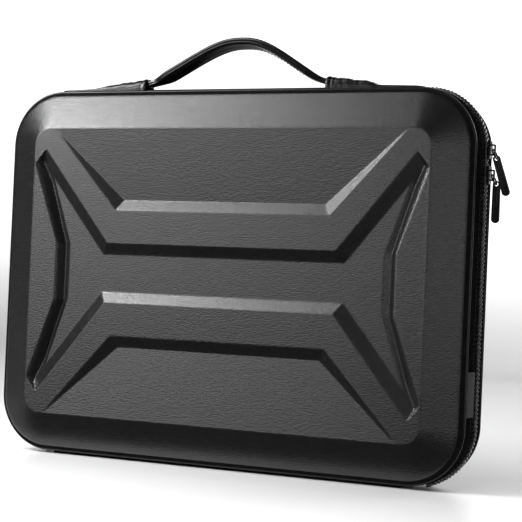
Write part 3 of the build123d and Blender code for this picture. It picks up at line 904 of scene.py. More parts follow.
    def build(self, finishes: Finishes) -> bpy.types.Object:
        """Build and dress the skin of this half: outside and inside, joined by faces along the seam."""
        skin = Skin()
        core, out = self.square()
        seam = self.outside(skin, core, out)[:, -1]
        lip = self.inside(skin, core, out)
        steps = (np.arange(len(lip))[:, None] * self.coarse + np.arange(self.coarse, -1, -1)) % len(seam)
        joins = np.concatenate([lip[:, None], np.roll(lip, -1)[:, None], seam[steps]], 1)
        skin.add_faces(joins[:, ::-1] if self.facing is Facing.REAR else joins)
        normals = np.concatenate(skin.normals)
        normals[np.linalg.norm(normals, axis=1) < 0.5] = (0, -self.facing.value, 0)  # the inside has none yet
        skin.normals = [normals]
        piece = skin.build(self.facing.prefix + "pressed_skin", outward=True, keep_normals=True)
        finishes.put(piece, "shell_skin")
        self.matt_rim(piece, finishes)
        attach(piece, self.facing.body)
        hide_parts(self.facing.prefix + "shell")
        return piece

    def matt_rim(self, piece: bpy.types.Object, finishes: Finishes) -> None:
        """Give the faces behind the bevel's outer edge the matt leather of the bands."""
        piece.data.materials.append(finishes.materials["band_leather"])
        centres = np.empty(3 * len(piece.data.polygons), np.float32)
        piece.data.polygons.foreach_get("center", centres)
        matt = np.abs(centres.reshape(-1, 3)[:, 1]) < (self.face[1] - self.matt_below) * MM
        piece.data.polygons.foreach_set("material_index", matt.astype(np.int32))


# ---------------------------------------------------------------- bands, piping and zip


@dataclass
class SideBands:
    """Piping, side bands, tapes and teeth of one half."""

    facing: Facing
    outline: Outline
    rim: tuple = (1.9, 20.3)
    seam_depth: float = 18.3
    piping_radius: float = 1.15
    tape_inset: float = 1.5
    zip_end: float = 168.0
    tooth_pitch: float = 3.2
    tooth_height: float = 3.4
    stitch_length: float = 2.6
    stitch_pitch: float = 3.5
    stitch_depth: float = 8.2
    band_start: tuple = (0.2, 5.5)  # inset and depth of the band where it meets the tape
    piping_flange: tuple = (4.8, 0.7)  # inset that the piping's flange reaches, and half its width

    # a tooth: places behind the zip plane with half widths, heights and heights of the base, and its section
    tooth_stations: tuple = (-0.75, -0.35, 0.5, 1.6, 2.5, 2.75)
    tooth_widths: tuple = (0.75, 1.15, 1.15, 0.95, 0.95, 0.7)
    tooth_heights: tuple = (1.9, 2.6, 3.1, 3.4, 3.0, 1.6)
    tooth_bases: tuple = (1.1, 0.7, 0.3, 0.05, 0.05, 0.3)
    tooth_section: tuple = ((-1, 0), (-1, 0.7), (-0.55, 1), (0.55, 1), (1, 0.7), (1, 0))

    def piping(self, finishes: Finishes) -> bpy.types.Object:
        """Round piping in the seam: a circle carried round, with a flat flange inside."""
        middle = (self.rim[1] + self.seam_depth) / 2
        angle = np.linspace(-0.62 * np.pi, 0.62 * np.pi, 13)
        radius = self.piping_radius
        inset = self.rim[0] - 0.95 + radius - radius * np.cos(angle)
        profile = np.stack([inset, middle + radius * 0.97 * np.sin(angle)], 1)
        reach, half = self.piping_flange
        profile = np.concatenate([profile, [(reach, middle + half), (reach, middle - half)]])
        ways = self.outline.even(420)
        skin = Skin()
        skin.add_tube(self.outline.swept(profile, *self.outline.place(ways), self.facing), closed=True)
        piece = skin.build(self.facing.prefix + "round_piping", smooth=60)
        return finishes.dressed(piece, "piping_leather", self.facing.body, self.facing.prefix + "piping")

    def band_inset(self, depth: Array) -> Array:
        """Inset of the band's outer face at a depth."""
        inset, start = self.band_start
        return inset + (depth - start) / (self.seam_depth - start) * (self.rim[0] - inset)

    def stitching(self, finishes: Finishes) -> bpy.types.Object:
        """Row of stitches near the zip: small pointed ovals, equally spaced round the band."""
        total = self.outline.length()
        count = int(total / self.stitch_pitch)
        ways = np.arange(count) * total / count
        core, out = self.outline.place(ways)
        along = np.stack([out[:, 1], -out[:, 0]], 1)
        inset = self.band_inset(np.array(self.stitch_depth))
        middle = core + (self.outline.radius - inset + 0.05) * out
        y = np.full(count, self.facing.value * self.stitch_depth)
        origin = np.stack([middle[:, 0], y, middle[:, 1] + self.outline.centre_z], 1)
        tangent = np.stack([along[:, 0], np.zeros(count), along[:, 1]], 1)
        rise = np.stack([out[:, 0], np.zeros(count), out[:, 1]], 1)
        skin = Skin()
        skin.add_copies(thread_run(origin, tangent, rise, self.stitch_length, 0.32))
        return finishes.dressed(skin.build(self.facing.prefix + "band_stitches"), "sewing_thread", self.facing.body)

    def teeth(self, finishes: Finishes) -> bpy.types.Object:
        """Row of moulded teeth: rounded blocks with a head that reaches past the zip plane."""
        crest = self.tape_inset - self.tooth_height
        total = self.outline.length(crest)
        count = int(total / self.tooth_pitch / 2) * 2
        pitch = total / count
        shift = 0.0 if self.facing is Facing.FRONT else 0.5
        ways = (np.arange(count) + shift) * pitch
        core, out = self.outline.place(ways, crest)
        above_bottom = core[:, 1] + out[:, 1] > -self.outline.core[1] - 0.3
        x = core[:, 0] + (self.outline.radius - crest) * out[:, 0]
        keep = above_bottom | (np.abs(x) > self.zip_end + 1)
        core, out = core[keep], out[keep]
        along = np.stack([out[:, 1], np.zeros(len(out)), -out[:, 0]], 1)
        rise = np.stack([out[:, 0], np.zeros(len(out)), out[:, 1]], 1)
        foot = core + (self.outline.radius - self.tape_inset) * out
        origin = np.stack([foot[:, 0], np.zeros(len(foot)), foot[:, 1] + self.outline.centre_z], 1)
        back = self.facing.value * np.array([0, 1, 0])
        shape = (self.tooth_stations, self.tooth_widths, self.tooth_heights, self.tooth_bases)
        stations, widths, heights, bases = (np.array(values)[:, None] for values in shape)
        corner = np.array(self.tooth_section)[None]
        rings = (
            origin[:, None, None]
            + (stations[..., None] * back)[None]
            + along[:, None, None] * (widths * corner[..., 0])[None, ..., None]
            + rise[:, None, None] * (bases + (heights - bases) * corner[..., 1])[None, ..., None]
        )
        skin = Skin()
        skin.add_copies(rings)
        piece = skin.build(self.facing.prefix + "zip_teeth")
        return finishes.dressed(piece, "zip_teeth", self.facing.body, self.facing.prefix + "zip_chain")

    def build(self, finishes: Finishes) -> list[bpy.types.Object]:
        """Build the bands of this half and dress the solids that stay."""
        made = [self.piping(finishes), self.stitching(finishes), self.teeth(finishes)]
        for side in ("top", "bottom", "left", "right"):
            finishes.put(frame["nodes"][f"{self.facing.prefix}gusset_{side}"], "band_leather")
        finishes.put(frame["nodes"][self.facing.prefix + "zip_tape"], "zip_tape")
        made.append(polished(self.facing.prefix + "foot_strip", "band_leather", 0.5, finishes))
        return made


def thread_run(origin: Array, tangent: Array, rise: Array, length: float, radius: float) -> Array:
    """Stitches as pointed ovals that dip at both ends.

    Along a stitch the radius is the full one times the square root of 1 minus the fourth power of the
    place, and the middle rises by a parabola.

    Args:
        origin: Middles of the stitches (n, 3).
        tangent: Unit directions along them (n, 3).
        rise: Unit directions out of the leather (n, 3).
        length: Length of a stitch.
        radius: Radius of the thread.

    Returns:
        Rings of shape (n, 5, 6, 3).
    """
    place = np.array([-1, -0.75, 0, 0.75, 1])
    size = radius * np.sqrt(np.maximum(1 - place**4, 0.04))
    lift = radius * 0.9 * (1 - place**2) - radius * 0.55
    angle = np.linspace(0, 2 * np.pi, 6, endpoint=False)
    side = np.cross(rise, tangent)
    c, s = np.cos(angle)[None, :, None], np.sin(angle)[None, :, None]
    ring = size[:, None, None] * (c * side[:, None, None] + s * rise[:, None, None])
    along, up = (place * length / 2)[None, :, None], lift[None, :, None]
    middle = origin[:, None] + tangent[:, None] * along + rise[:, None] * up
    return middle[:, :, None] + ring


# ---------------------------------------------------------------- handle


@dataclass
class Handle:
    """Padded strap handle with its two leather sleeves and the sewn base."""

    centre_y: float = -12.2
    mouth_z: float = 300.41
    half_width: float = 7.9
    half_height: float = 3.0
    neck: tuple = (4.3, 2.3)
    lean: float = 11.0
    drift: float = 1.6
    neck_span: tuple = (59, 15)  # X where the strap starts to narrow, and the way over which it does
    stitched: float = 57.0
    controls: tuple = (
        (0, 334.0), (12, 333.1), (24, 328.9), (38, 321.4), (54, 311.4), (66, 304.5), (75, 301.2), (82, 300.4),
        (90, 300.4),
    )
    section: tuple = (
        (0, 1), (0.35, 0.985), (0.62, 0.95), (0.7, 0.9), (0.75, 0.82), (0.8, 0.87), (0.88, 0.8), (0.95, 0.6),
        (0.99, 0.3), (1, 0.02), (0.985, -0.14), (0.925, -0.22), (0.98, -0.32), (0.99, -0.55), (0.965, -0.76),
        (0.9, -0.92), (0.74, -0.985), (0.4, -1), (0, -1),
    )
    painted_edges: tuple = ((21, 26), (35, 39))  # faces of the half section, counted from the middle of the top

    # the sleeves: ends along X, half width of the underside, and tables of width and height along X
    mouth: float = 78.0
    tail: float = 155.0
    foot_half: float = 7.7
    flange: float = 0.75
    widths: tuple = (
        (78, 15.4), (80, 15.4), (100, 15.0), (116, 14.2), (124, 13.6), (140, 13.2), (151, 12.4), (155, 9.0),
    )
    left_heights: tuple = (
        (78, 9.2), (79.4, 9.5), (82, 9.0), (90, 7.9), (100, 6.7), (110, 5.4), (120, 3.5), (126, 2.4), (132, 2.0),
        (150, 1.5), (155, 0.9),
    )
    right_heights: tuple = (
        (78, 9.2), (79.4, 9.5), (82, 9.1), (90, 8.2), (100, 6.9), (110, 5.8), (114.5, 4.9), (118.5, 2.8), (122, 2.4),
        (134, 2.1), (150, 1.6), (155, 0.9),
    )

    def frames(self, per_span: int) -> tuple[Array, Array, Array, Array]:
        """Points of the strap's middle line with its tangents, sides and rises.

        The arch is a spline in X and Z that leans back about the mouths' line, and its middle stands a
        little to the right. The section leans with it and turns level inside the mouths.

        Args:
            per_span: Points on each span of the spline.

        Returns:
            Middle points, tangents, sides and rises, each of shape (n, 3).
        """
        right = list(self.controls[1:])
        line, _ = spline([(-x, z) for x, z in reversed(right)] + [self.controls[0]] + right, per_span)
        x, high = line[:, 0], line[:, 1] - self.mouth_z
        lean = math.radians(self.lean)
        y, z = self.centre_y + high * math.sin(lean), self.mouth_z + high * math.cos(lean)
        origin = np.stack([x + self.drift * high / 34, y, z], 1)
        tilt = lean * ease((80 - np.abs(x)) / 24)
        side = np.stack([0 * x, np.cos(tilt), -np.sin(tilt)], 1)
        forward = np.gradient(origin, axis=0)
        forward /= np.linalg.norm(forward, axis=1, keepdims=True)
        rise = np.cross(forward, side)
        return origin, forward, side, rise / np.linalg.norm(rise, axis=1, keepdims=True)

    def loop(self, finishes: Finishes) -> bpy.types.Object:
        """Strap: two plies with a seam between them and a stitch groove along each edge, carried along the arch.

        The half section is a spline through the section's places, mirrored to the other side. The
        shoulders of both plies carry glossy edge paint.
        """
        half, _ = spline(self.section, 3)
        shape = np.concatenate([half, half[-2:0:-1] * [-1, 1]])
        origin, _, side, rise = self.frames(9)
        share = ease((np.abs(origin[:, 0]) - self.neck_span[0]) / self.neck_span[1])
        width = self.half_width * (1 - share) + self.neck[0] * share
        height = self.half_height * (1 - share) + self.neck[1] * share
        profile = np.stack([width[:, None] * shape[None, :, 0], height[:, None] * shape[None, :, 1]], -1)
        skin = Skin()
        skin.add_tube(carried(profile, origin, side, rise))
        piece = skin.build("handle_strap", smooth=60)
        finishes.put(piece, "handle_leather")
        piece.data.materials.append(finishes.materials["edge_paint"])
        painted = np.zeros(len(shape), np.int32)
        for first, last in self.painted_edges:
            painted[first:last] = 1
            painted[len(shape) - last : len(shape) - first] = 1
        index = np.zeros(len(piece.data.polygons), np.int32)
        index[: (len(origin) - 1) * len(shape)] = np.tile(painted, len(origin) - 1)
        piece.data.polygons.foreach_set("material_index", index)
        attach(piece, "handle")
        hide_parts("handle_upper_ply", "handle_lower_ply")
        self.loop_stitches(finishes)
        return piece

    def loop_stitches(self, finishes: Finishes) -> bpy.types.Object:
        """Two rows of stitches in the grooves of the strap's upper face and two below."""
        fine = self.frames(60)
        way = np.concatenate([[0], np.cumsum(np.linalg.norm(np.diff(fine[0], axis=0), axis=1))])
        keep = np.abs(fine[0][:, 0]) < self.stitched
        places = np.arange(way[keep][0], way[keep][-1], 3.4)
        origin, forward, side, rise = (
            np.stack([np.interp(places, way, part[:, i]) for i in range(3)], 1) for part in fine
        )
        skin = Skin()
        for face, high in ((1, 0.84), (-1, 0.95)):
            for edge in (1, -1):
                middle = origin + edge * 0.75 * self.half_width * side + face * high * self.half_height * rise
                skin.add_copies(thread_run(middle, forward, face * rise, 2.5, 0.28))
        return finishes.dressed(skin.build("handle_stitches"), "sewing_thread", "handle")

    def floor(self, y: Array) -> Array:
        """Height of the underside of a sleeve, which leans from the band to the piping."""
        clear, band_z, outline_top, rim_inset, piping_rise = 0.1, 295.8, 148.6 + 147.4, 1.9, 0.95
        near, far = -self.centre_y - self.foot_half, -self.centre_y + self.foot_half
        near_z, far_z = band_z + clear + 0.01, outline_top - rim_inset + piping_rise + clear
        return near_z + (-y - near) / (far - near) * (far_z - near_z)

    def sleeve(self, side: int, finishes: Finishes) -> bpy.types.Object:
        """Sleeve: half superellipses whose height and width follow a table, down to a flat sewn tail.

        A rolled hem stands at the mouth with a groove behind it. The folds are sums of three waves
        along and across, strongest near the mouth and gone at the tail.
        """
        count, rows = 45, 120
        share = np.linspace(0, 1, rows)
        x = self.mouth + (self.tail - self.mouth) * (0.75 * share + 0.25 * share**2)
        width = np.interp(x, *np.array(self.widths).T)
        table = np.array(self.right_heights if side > 0 else self.left_heights).T
        fine = np.linspace(self.mouth - 4, self.tail + 4, 341)
        soft = np.convolve(np.interp(fine, *table), np.ones(9) / 9, "same")
        height = np.interp(x, fine[8:-8], soft[8:-8])
        hem = 1 + 0.035 * np.exp(-(((x - 79.3) / 0.9) ** 2)) - 0.04 * np.exp(-(((x - 81.7) / 0.6) ** 2))
        width, height = width * (0.5 + 0.5 * hem), height * hem
        angle = np.linspace(0, np.pi, count)
        c, s = np.cos(angle), np.sin(angle)
        power = np.interp(x, [self.mouth, 100, 120, self.tail], [0.8, 0.7, 0.5, 0.4])[:, None]
        across = np.sign(c) * np.abs(c)[None] ** 0.6
        up = np.abs(s)[None] ** power
        fold = (
            0.30 * np.sin(x[:, None] * 0.42 + 2.1 * across + side)
            + 0.22 * np.sin(x[:, None] * 0.9 - 3.0 * across + 2.0 * side)
            + 0.10 * np.sin(x[:, None] * 1.9 + 5.0 * across)
        )
        fold *= (ease((x - 82) / 5) * ease((124 - x) / 20))[:, None] * np.abs(s)[None] ** 0.6
        y = self.centre_y + width[:, None] / 2 * across
        z = self.floor(y) + self.flange + (height[:, None] - self.flange) * up + fold * 0.8
        z[:, [0, -1]] = (self.floor(y) + self.flange * 0.4)[:, [0, -1]]
        top = np.stack([np.broadcast_to(side * x[:, None], y.shape), y, z], -1)
        under = top[:, ::-1].copy()[:, 1:-1]
        under[..., 2] = self.floor(under[..., 1])
        rings = np.concatenate([top, under], 1)
        skin = Skin()
        index = skin.add_points(rings)
        skin.add_grid(index, wrap_columns=True)
        skin.add_faces(index[-1:])
        # the mouth is a hollow: it turns in over a rounded lip and ends on a floor behind
        axis = np.array([side * self.mouth, self.centre_y, self.mouth_z])
        lip = rings[0]
        inner = axis + (lip - axis) * [[1, 0.84, 0.74]]
        inwards = np.array([side, 0, 0])
        lip_rings = [lip + (inner - lip) * 0.45 - 0.55 * inwards]
        lip_rings += [inner + reach * inwards for reach in (-0.2, 1.0, 9)]
        turn = skin.add_points(np.stack(lip_rings))
        skin.add_grid(np.concatenate([index[:1], turn]), wrap_columns=True)
        skin.add_faces(turn[-1:])
        place = "right" if side > 0 else "left"
        piece = skin.build(f"sleeve_{place}", smooth=65)
        return finishes.dressed(piece, "sleeve_leather", "front_half", f"handle_tab_{place}")

    def build(self, finishes: Finishes) -> list[bpy.types.Object]:
        """Build the handle and dress its solids that stay."""
        made = [self.loop(finishes), self.sleeve(1, finishes), self.sleeve(-1, finishes)]
        finishes.put(frame["nodes"]["handle_ends"], "handle_leather")
        made.append(polished("handle_base", "handle_leather", 0.8, finishes))
        return made


def polished(node: str, finish: str, edge: float, finishes: Finishes) -> bpy.types.Object:
    """Copy of a rigid solid with softly rounded edges, in the solid's place.

    Args:
        node: Name of the CAD node.
        finish: Name of its finish.
        edge: Width of the rounding, in millimetres.
        finishes: The finishes.

    Returns:
        The new piece, which replaces the node.
    """
    source = frame["nodes"][node]
    mesh = source.data.copy()
    mesh.materials.clear()
    work = bmesh.new()
    work.from_mesh(mesh)
    bmesh.ops.remove_doubles(work, verts=work.verts, dist=2e-6)
    bmesh.ops.dissolve_limit(work, angle_limit=math.radians(1.0), verts=work.verts, edges=work.edges)
    bmesh.ops.recalc_face_normals(work, faces=work.faces)
    work.to_mesh(mesh)
    work.free()
    piece = bpy.data.objects.new(node + "_polished", mesh)
    bpy.context.scene.collection.objects.link(piece)
    mesh.polygons.foreach_set("use_smooth", np.full(len(mesh.polygons), True))
    bevel = piece.modifiers.new("rounded_edges", "BEVEL")
    bevel.width = edge * MM
    bevel.segments = 3
    bevel.limit_method = "ANGLE"
    bevel.angle_limit = math.radians(32)
    bevel.harden_normals = True
    return finishes.dressed(piece, finish, source["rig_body"], node)


@dataclass
class Hardware:
    """Two zip sliders with crowns, rings and pulls, and the end stops."""

    edges: tuple = (("slider_body", 0.55), ("slider_crown", 0.35), ("pull", 0.42))

    def build(self, finishes: Finishes) -> list[bpy.types.Object]:
        """Round the edges of the rigid pieces and dress the rings."""
        made = []
        for place in ("upper", "lower"):
            for part, edge in self.edges:
                made.append(polished(f"{place}_{part}", "slider_metal", edge, finishes))
            finishes.put(frame["nodes"][f"{place}_pull_ring"], "slider_metal")
        made.append(polished("zip_end_stops", "zip_teeth", 0.4, finishes))
        return made


@dataclass
class Lining:
    """Fleece that lines one half: it follows the moulding with soft creases and turns over the side foam."""

    facing: Facing
    outline: Outline
    inner: float = 29.1
    wall: float = 0.9
    softness: float = 3.2
    cells: tuple = (100, 66, 6)
    swell: float = 0.22
    side_line: tuple = (  # insets and depths: down the side foam, round the fleece's edge and back behind it
        (10.6, 22.0), (8.2, 20.6), (6.6, 18.4), (6.3, 15.0), (6.3, 10.2), (6.2, 9.7), (5.8, 9.4), (5.4, 9.7),
        (5.3, 10.2), (5.3, 19.4), (6.0, 20.8), (8.9, 22.3),
    )

    def loose(self, x: Array, z: Array) -> Array:
        """Small rise and fall of the fleece: three sine waves of different length and direction, added."""
        across, up = np.sin(x / 19 + 0.7 * np.sin(z / 31)), np.sin(z / 16 + 0.9 * np.sin(x / 27))
        return self.swell * (across + up + np.sin((x + 1.7 * z) / 23)) / 3

    def build(self, finishes: Finishes) -> bpy.types.Object:
        """Build and dress the lining of this half, as one closed sheet with a thickness."""
        shell = MouldedShell(self.facing, self.outline, crease=self.softness, cells=self.cells)
        sign, radius = self.facing.value, self.outline.radius
        core, out = shell.square()
        skin, faces = Skin(), []
        for reach, depth, loose in ((11.0, self.inner, 1.0), (12.6, self.inner + self.wall, 0.0)):
            flat = core + reach * out
            x, z = flat[..., 0], flat[..., 1]
            y = depth - shell.pressing(x, z) - loose * self.loose(x, z)
            faces.append(skin.add_points(np.stack([x, sign * y, z + self.outline.centre_z], -1)))
            skin.add_grid(faces[-1])
        sides = [(radius - inset, depth) for inset, depth in self.side_line]
        line = np.array([
            (12.5, self.inner - 0.1),
            (14.5, self.inner - 0.9),
            *sides,
            (14.0, self.inner + self.wall - 0.5),
        ])
        ring = shell.ring(shell.border(core), shell.border(out), line[:, 0], line[:, 1])
        index = skin.add_points(ring)
        around = np.concatenate([shell.border(faces[0])[:, None], index, shell.border(faces[1])[:, None]], 1)
        skin.add_grid(around, wrap_rows=True)
        piece = skin.build(self.facing.prefix + "fleece_lining", smooth=60)
        finishes.dressed(piece, "lining_fleece", self.facing.body, self.facing.prefix + "lining")
        return piece


@dataclass
class Inside:
    """Pocket of the front half, elastic straps of the rear half, fold over the hinge, and side tag."""

    outline: Outline
    gap: float = 6.4
    pocket_depth: float = 11.0
    pocket_top: float = 218.6
    belly: float = 1.6
    binding: tuple = (218.4, 230.6)
    strap_x: float = 95.0
    strap_size: tuple = (25.0, 1.2)
    strap_path: tuple = ((2.4, 0.0), (2.4, 127.0), (11.1, 140.9))
    fold: tuple = ((-7.0, 4.93), (-3.0, 3.6), (-0.8, 4.6), (0.0, 7.4), (0.8, 4.6), (3.0, 3.6), (7.0, 4.93))
    hinge_half: float = 167.9
    tag_y: tuple = (-17.9, -5.9)
    tag_z: tuple = (55.0, 88.0)
    tag_x: float = 200.0

    def half_width(self, z: Array) -> Array:
        """Half width of the opening at a height: the straight sides, then the arcs of the lower corners."""
        across, up = self.outline.core
        radius = self.outline.radius - self.gap
        below = np.maximum(self.outline.centre_z - up - z, 0)
        return across + np.sqrt(np.maximum(radius**2 - below**2, 0))

    def net(self, finishes: Finishes) -> bpy.types.Object:
        """Pocket net: rows at even heights, as wide as the opening; its belly is a product of two sine half waves."""
        radius, low = self.outline.radius - self.gap, self.outline.centre_z - self.outline.half_height + self.gap
        turn = np.linspace(0.02, 1, 12) * np.pi / 2
        z = np.concatenate([low + radius * (1 - np.cos(turn)), np.linspace(low + radius, self.pocket_top, 45)[1:]])
        across = np.linspace(-1, 1, 81)
        share = (z - low) / (self.pocket_top - low)
        x = across[None] * self.half_width(z)[:, None]
        bulge = self.belly * np.sin(np.pi * share)[:, None] * np.cos(np.pi / 2 * across)[None]
        small = 0.12 * np.sin(x / 7 + 1.4 * np.sin(z / 13)[:, None])
        points = np.stack([x, -(self.pocket_depth - bulge) + small, np.broadcast_to(z[:, None], x.shape)], -1)
        piece = self.thin_sheet("pocket_net_sheet", points, "thread_thickness", 0.4)
        return finishes.dressed(piece, "pocket_net", "front_half", "pocket_mesh")

    @staticmethod
    def thin_sheet(name: str, points: Array, wall_name: str, thickness: float) -> bpy.types.Object:
        """Grid of points as a sheet, with a thickness in millimetres shared between its two sides."""
        skin = Skin()
        skin.add_grid(skin.add_points(points))
        piece = skin.build(name, outward=False, smooth=180)
        wall = piece.modifiers.new(wall_name, "SOLIDIFY")
        wall.thickness, wall.offset = thickness * MM, 0.0
        return piece

    def pocket_binding(self, finishes: Finishes) -> bpy.types.Object:
        """Elastic binding of the pocket: a flat oval profile carried along X, its edges drawn up in small gathers."""
        low, high = self.binding
        x = np.linspace(-193.0, 193.0, 341)
        gather = np.sin(2 * np.pi * x / 5.6 + 0.8 * np.sin(x / 17))
        oval = superellipse(0.9, 1.0, 3.0, 16)
        tall = (high - low) / 2 - 0.25 + 0.25 * gather
        thick = 0.86 + 0.04 * gather
        profile = oval[None] * np.stack([thick, tall], -1)[:, None]
        origin = np.stack([x, np.full_like(x, -self.pocket_depth), np.full_like(x, (low + high) / 2)], 1)
        outward, upward = np.tile((0.0, 1.0, 0.0), (len(x), 1)), np.tile((0.0, 0.0, 1.0), (len(x), 1))
        skin = Skin()
        skin.add_tube(carried(profile, origin, outward, upward))
        piece = skin.build("pocket_edge_binding", smooth=60)
        return finishes.dressed(piece, "elastic", "front_half", "pocket_binding")

    def strap(self, side: int, finishes: Finishes) -> bpy.types.Object:
        """Elastic strap: a ribbed flat profile carried along its path and the path's mirror image, with sewn ends."""
        line, tangent = rounded_line(self.strap_path, (9.0,), arc=8, run=22)
        y = np.concatenate([line[::-1, 0], line[1:, 0]])
        z = np.concatenate([-line[::-1, 1], line[1:, 1]])
        ty = np.concatenate([-tangent[::-1, 0], tangent[1:, 0]])
        tz = np.concatenate([tangent[::-1, 1], tangent[1:, 1]])
        width, wall = self.strap_size
        across = np.linspace(-1, 1, 41)
        ribs = 0.86 + 0.14 * np.cos(9 * np.pi * across)
        ends = np.sqrt(np.maximum(1 - np.abs(across) ** 8, 0.02))
        top = np.stack([across * width / 2, wall / 2 * ribs * ends], 1)
        profile = np.concatenate([top, top[::-1] * (1, -1)])
        count = len(y)
        origin = np.stack([np.full(count, side * self.strap_x), y, z + self.outline.centre_z], 1)
        rise = np.stack([np.zeros(count), -tz, ty], 1)
        skin = Skin()
        skin.add_tube(carried(profile, origin, np.tile((1.0, 0.0, 0.0), (count, 1)), rise))
        place = "left" if side < 0 else "right"
        piece = skin.build(f"elastic_strap_{place}", smooth=60)
        finishes.dressed(piece, "elastic", "rear_half", f"laptop_strap_{place}")
        seams = Skin()
        steps = np.linspace(-9.6, 9.6, 7)
        for end in (0, -1):
            for row in (3, 9):
                spot = row if end == 0 else -1 - row
                start = origin[spot] + rise[spot] * (wall / 2 - 0.05) + steps[:, None] * np.array([1.0, 0, 0])
                along, out = (np.tile(unit, (len(steps), 1)) for unit in ((1.0, 0, 0), rise[spot]))
                seams.add_copies(thread_run(start, along, out, 2.2, 0.28))
        finishes.dressed(seams.build(f"strap_stitches_{place}"), "sewing_thread", "rear_half")
        return piece

    def hinge_fold(self, finishes: Finishes) -> bpy.types.Object:
        """Tape over the hinge: its folded profile is a smooth curve through a few places, carried along X."""
        path, _ = spline(self.fold, 6)
        x = np.linspace(-self.hinge_half, self.hinge_half, 85)
        ripple = 0.12 * np.sin(x / 9)[:, None] * np.cos(path[:, 0] / 9 * np.pi / 2)[None]
        points = np.stack([*np.broadcast_arrays(x[:, None], path[None, :, 0], path[None, :, 1] + ripple)], -1)
        piece = self.thin_sheet("hinge_fold_tape", points, "tape_thickness", 0.6)
        finishes.put(piece, "zip_tape")
        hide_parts("front_hinge_tape", "rear_hinge_tape")
        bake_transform(piece)
        return piece

    def tag(self, finishes: Finishes) -> list[bpy.types.Object]:
        """Side tag with rounded edges and a line of stitches near each end."""
        piece = polished("side_tag", "tag_fabric", 0.3, finishes)
        ys = np.linspace(self.tag_y[0] + 1.6, self.tag_y[1] - 1.6, 6)
        zs = (self.tag_z[0] + 2.0, self.tag_z[1] - 2.0)
        origin = np.array([(self.tag_x - 0.12, y, z) for z in zs for y in ys])
        along, out = (np.tile(unit, (len(origin), 1)) for unit in ((0.0, 1.0, 0.0), (1.0, 0.0, 0.0)))
        skin = Skin()
        skin.add_copies(thread_run(origin, along, out, 1.4, 0.16))
        thread = skin.build("side_tag_stitches")
        return [piece, finishes.dressed(thread, "sewing_thread", "front_half")]

    def build(self, finishes: Finishes) -> list[bpy.types.Object]:
        """Build the linings, pocket, straps, fold and tag."""
        made = [Lining(facing, self.outline).build(finishes) for facing in Facing]
        net, binding = self.net(finishes), self.pocket_binding(finishes)
        made += [net, binding, self.strap(-1, finishes), self.strap(1, finishes), self.hinge_fold(finishes)]
        return made + self.tag(finishes)


# ---------------------------------------------------------------- studio


@dataclass(frozen=True)
class Softbox:
    """Rectangular soft lamp at a place, aimed at a point."""

    name: str
    place: tuple
    aim: tuple
    size: tuple
    power: float
    mirrored: bool = True

    def build(self) -> None:
        """Place the lamp."""
        lamp = bpy.data.lights.new(self.name, "AREA")
        lamp.shape = "RECTANGLE"
        lamp.size, lamp.size_y = self.size
        lamp.energy = self.power
        lamp_object = bpy.data.objects.new(self.name, lamp)
        lamp_object.location = self.place
        lamp_object.visible_glossy = self.mirrored
        away = Vector(self.place) - Vector(self.aim)
        lamp_object.rotation_euler = away.to_track_quat("Z", "Y").to_euler()
        bpy.context.scene.collection.objects.link(lamp_object)


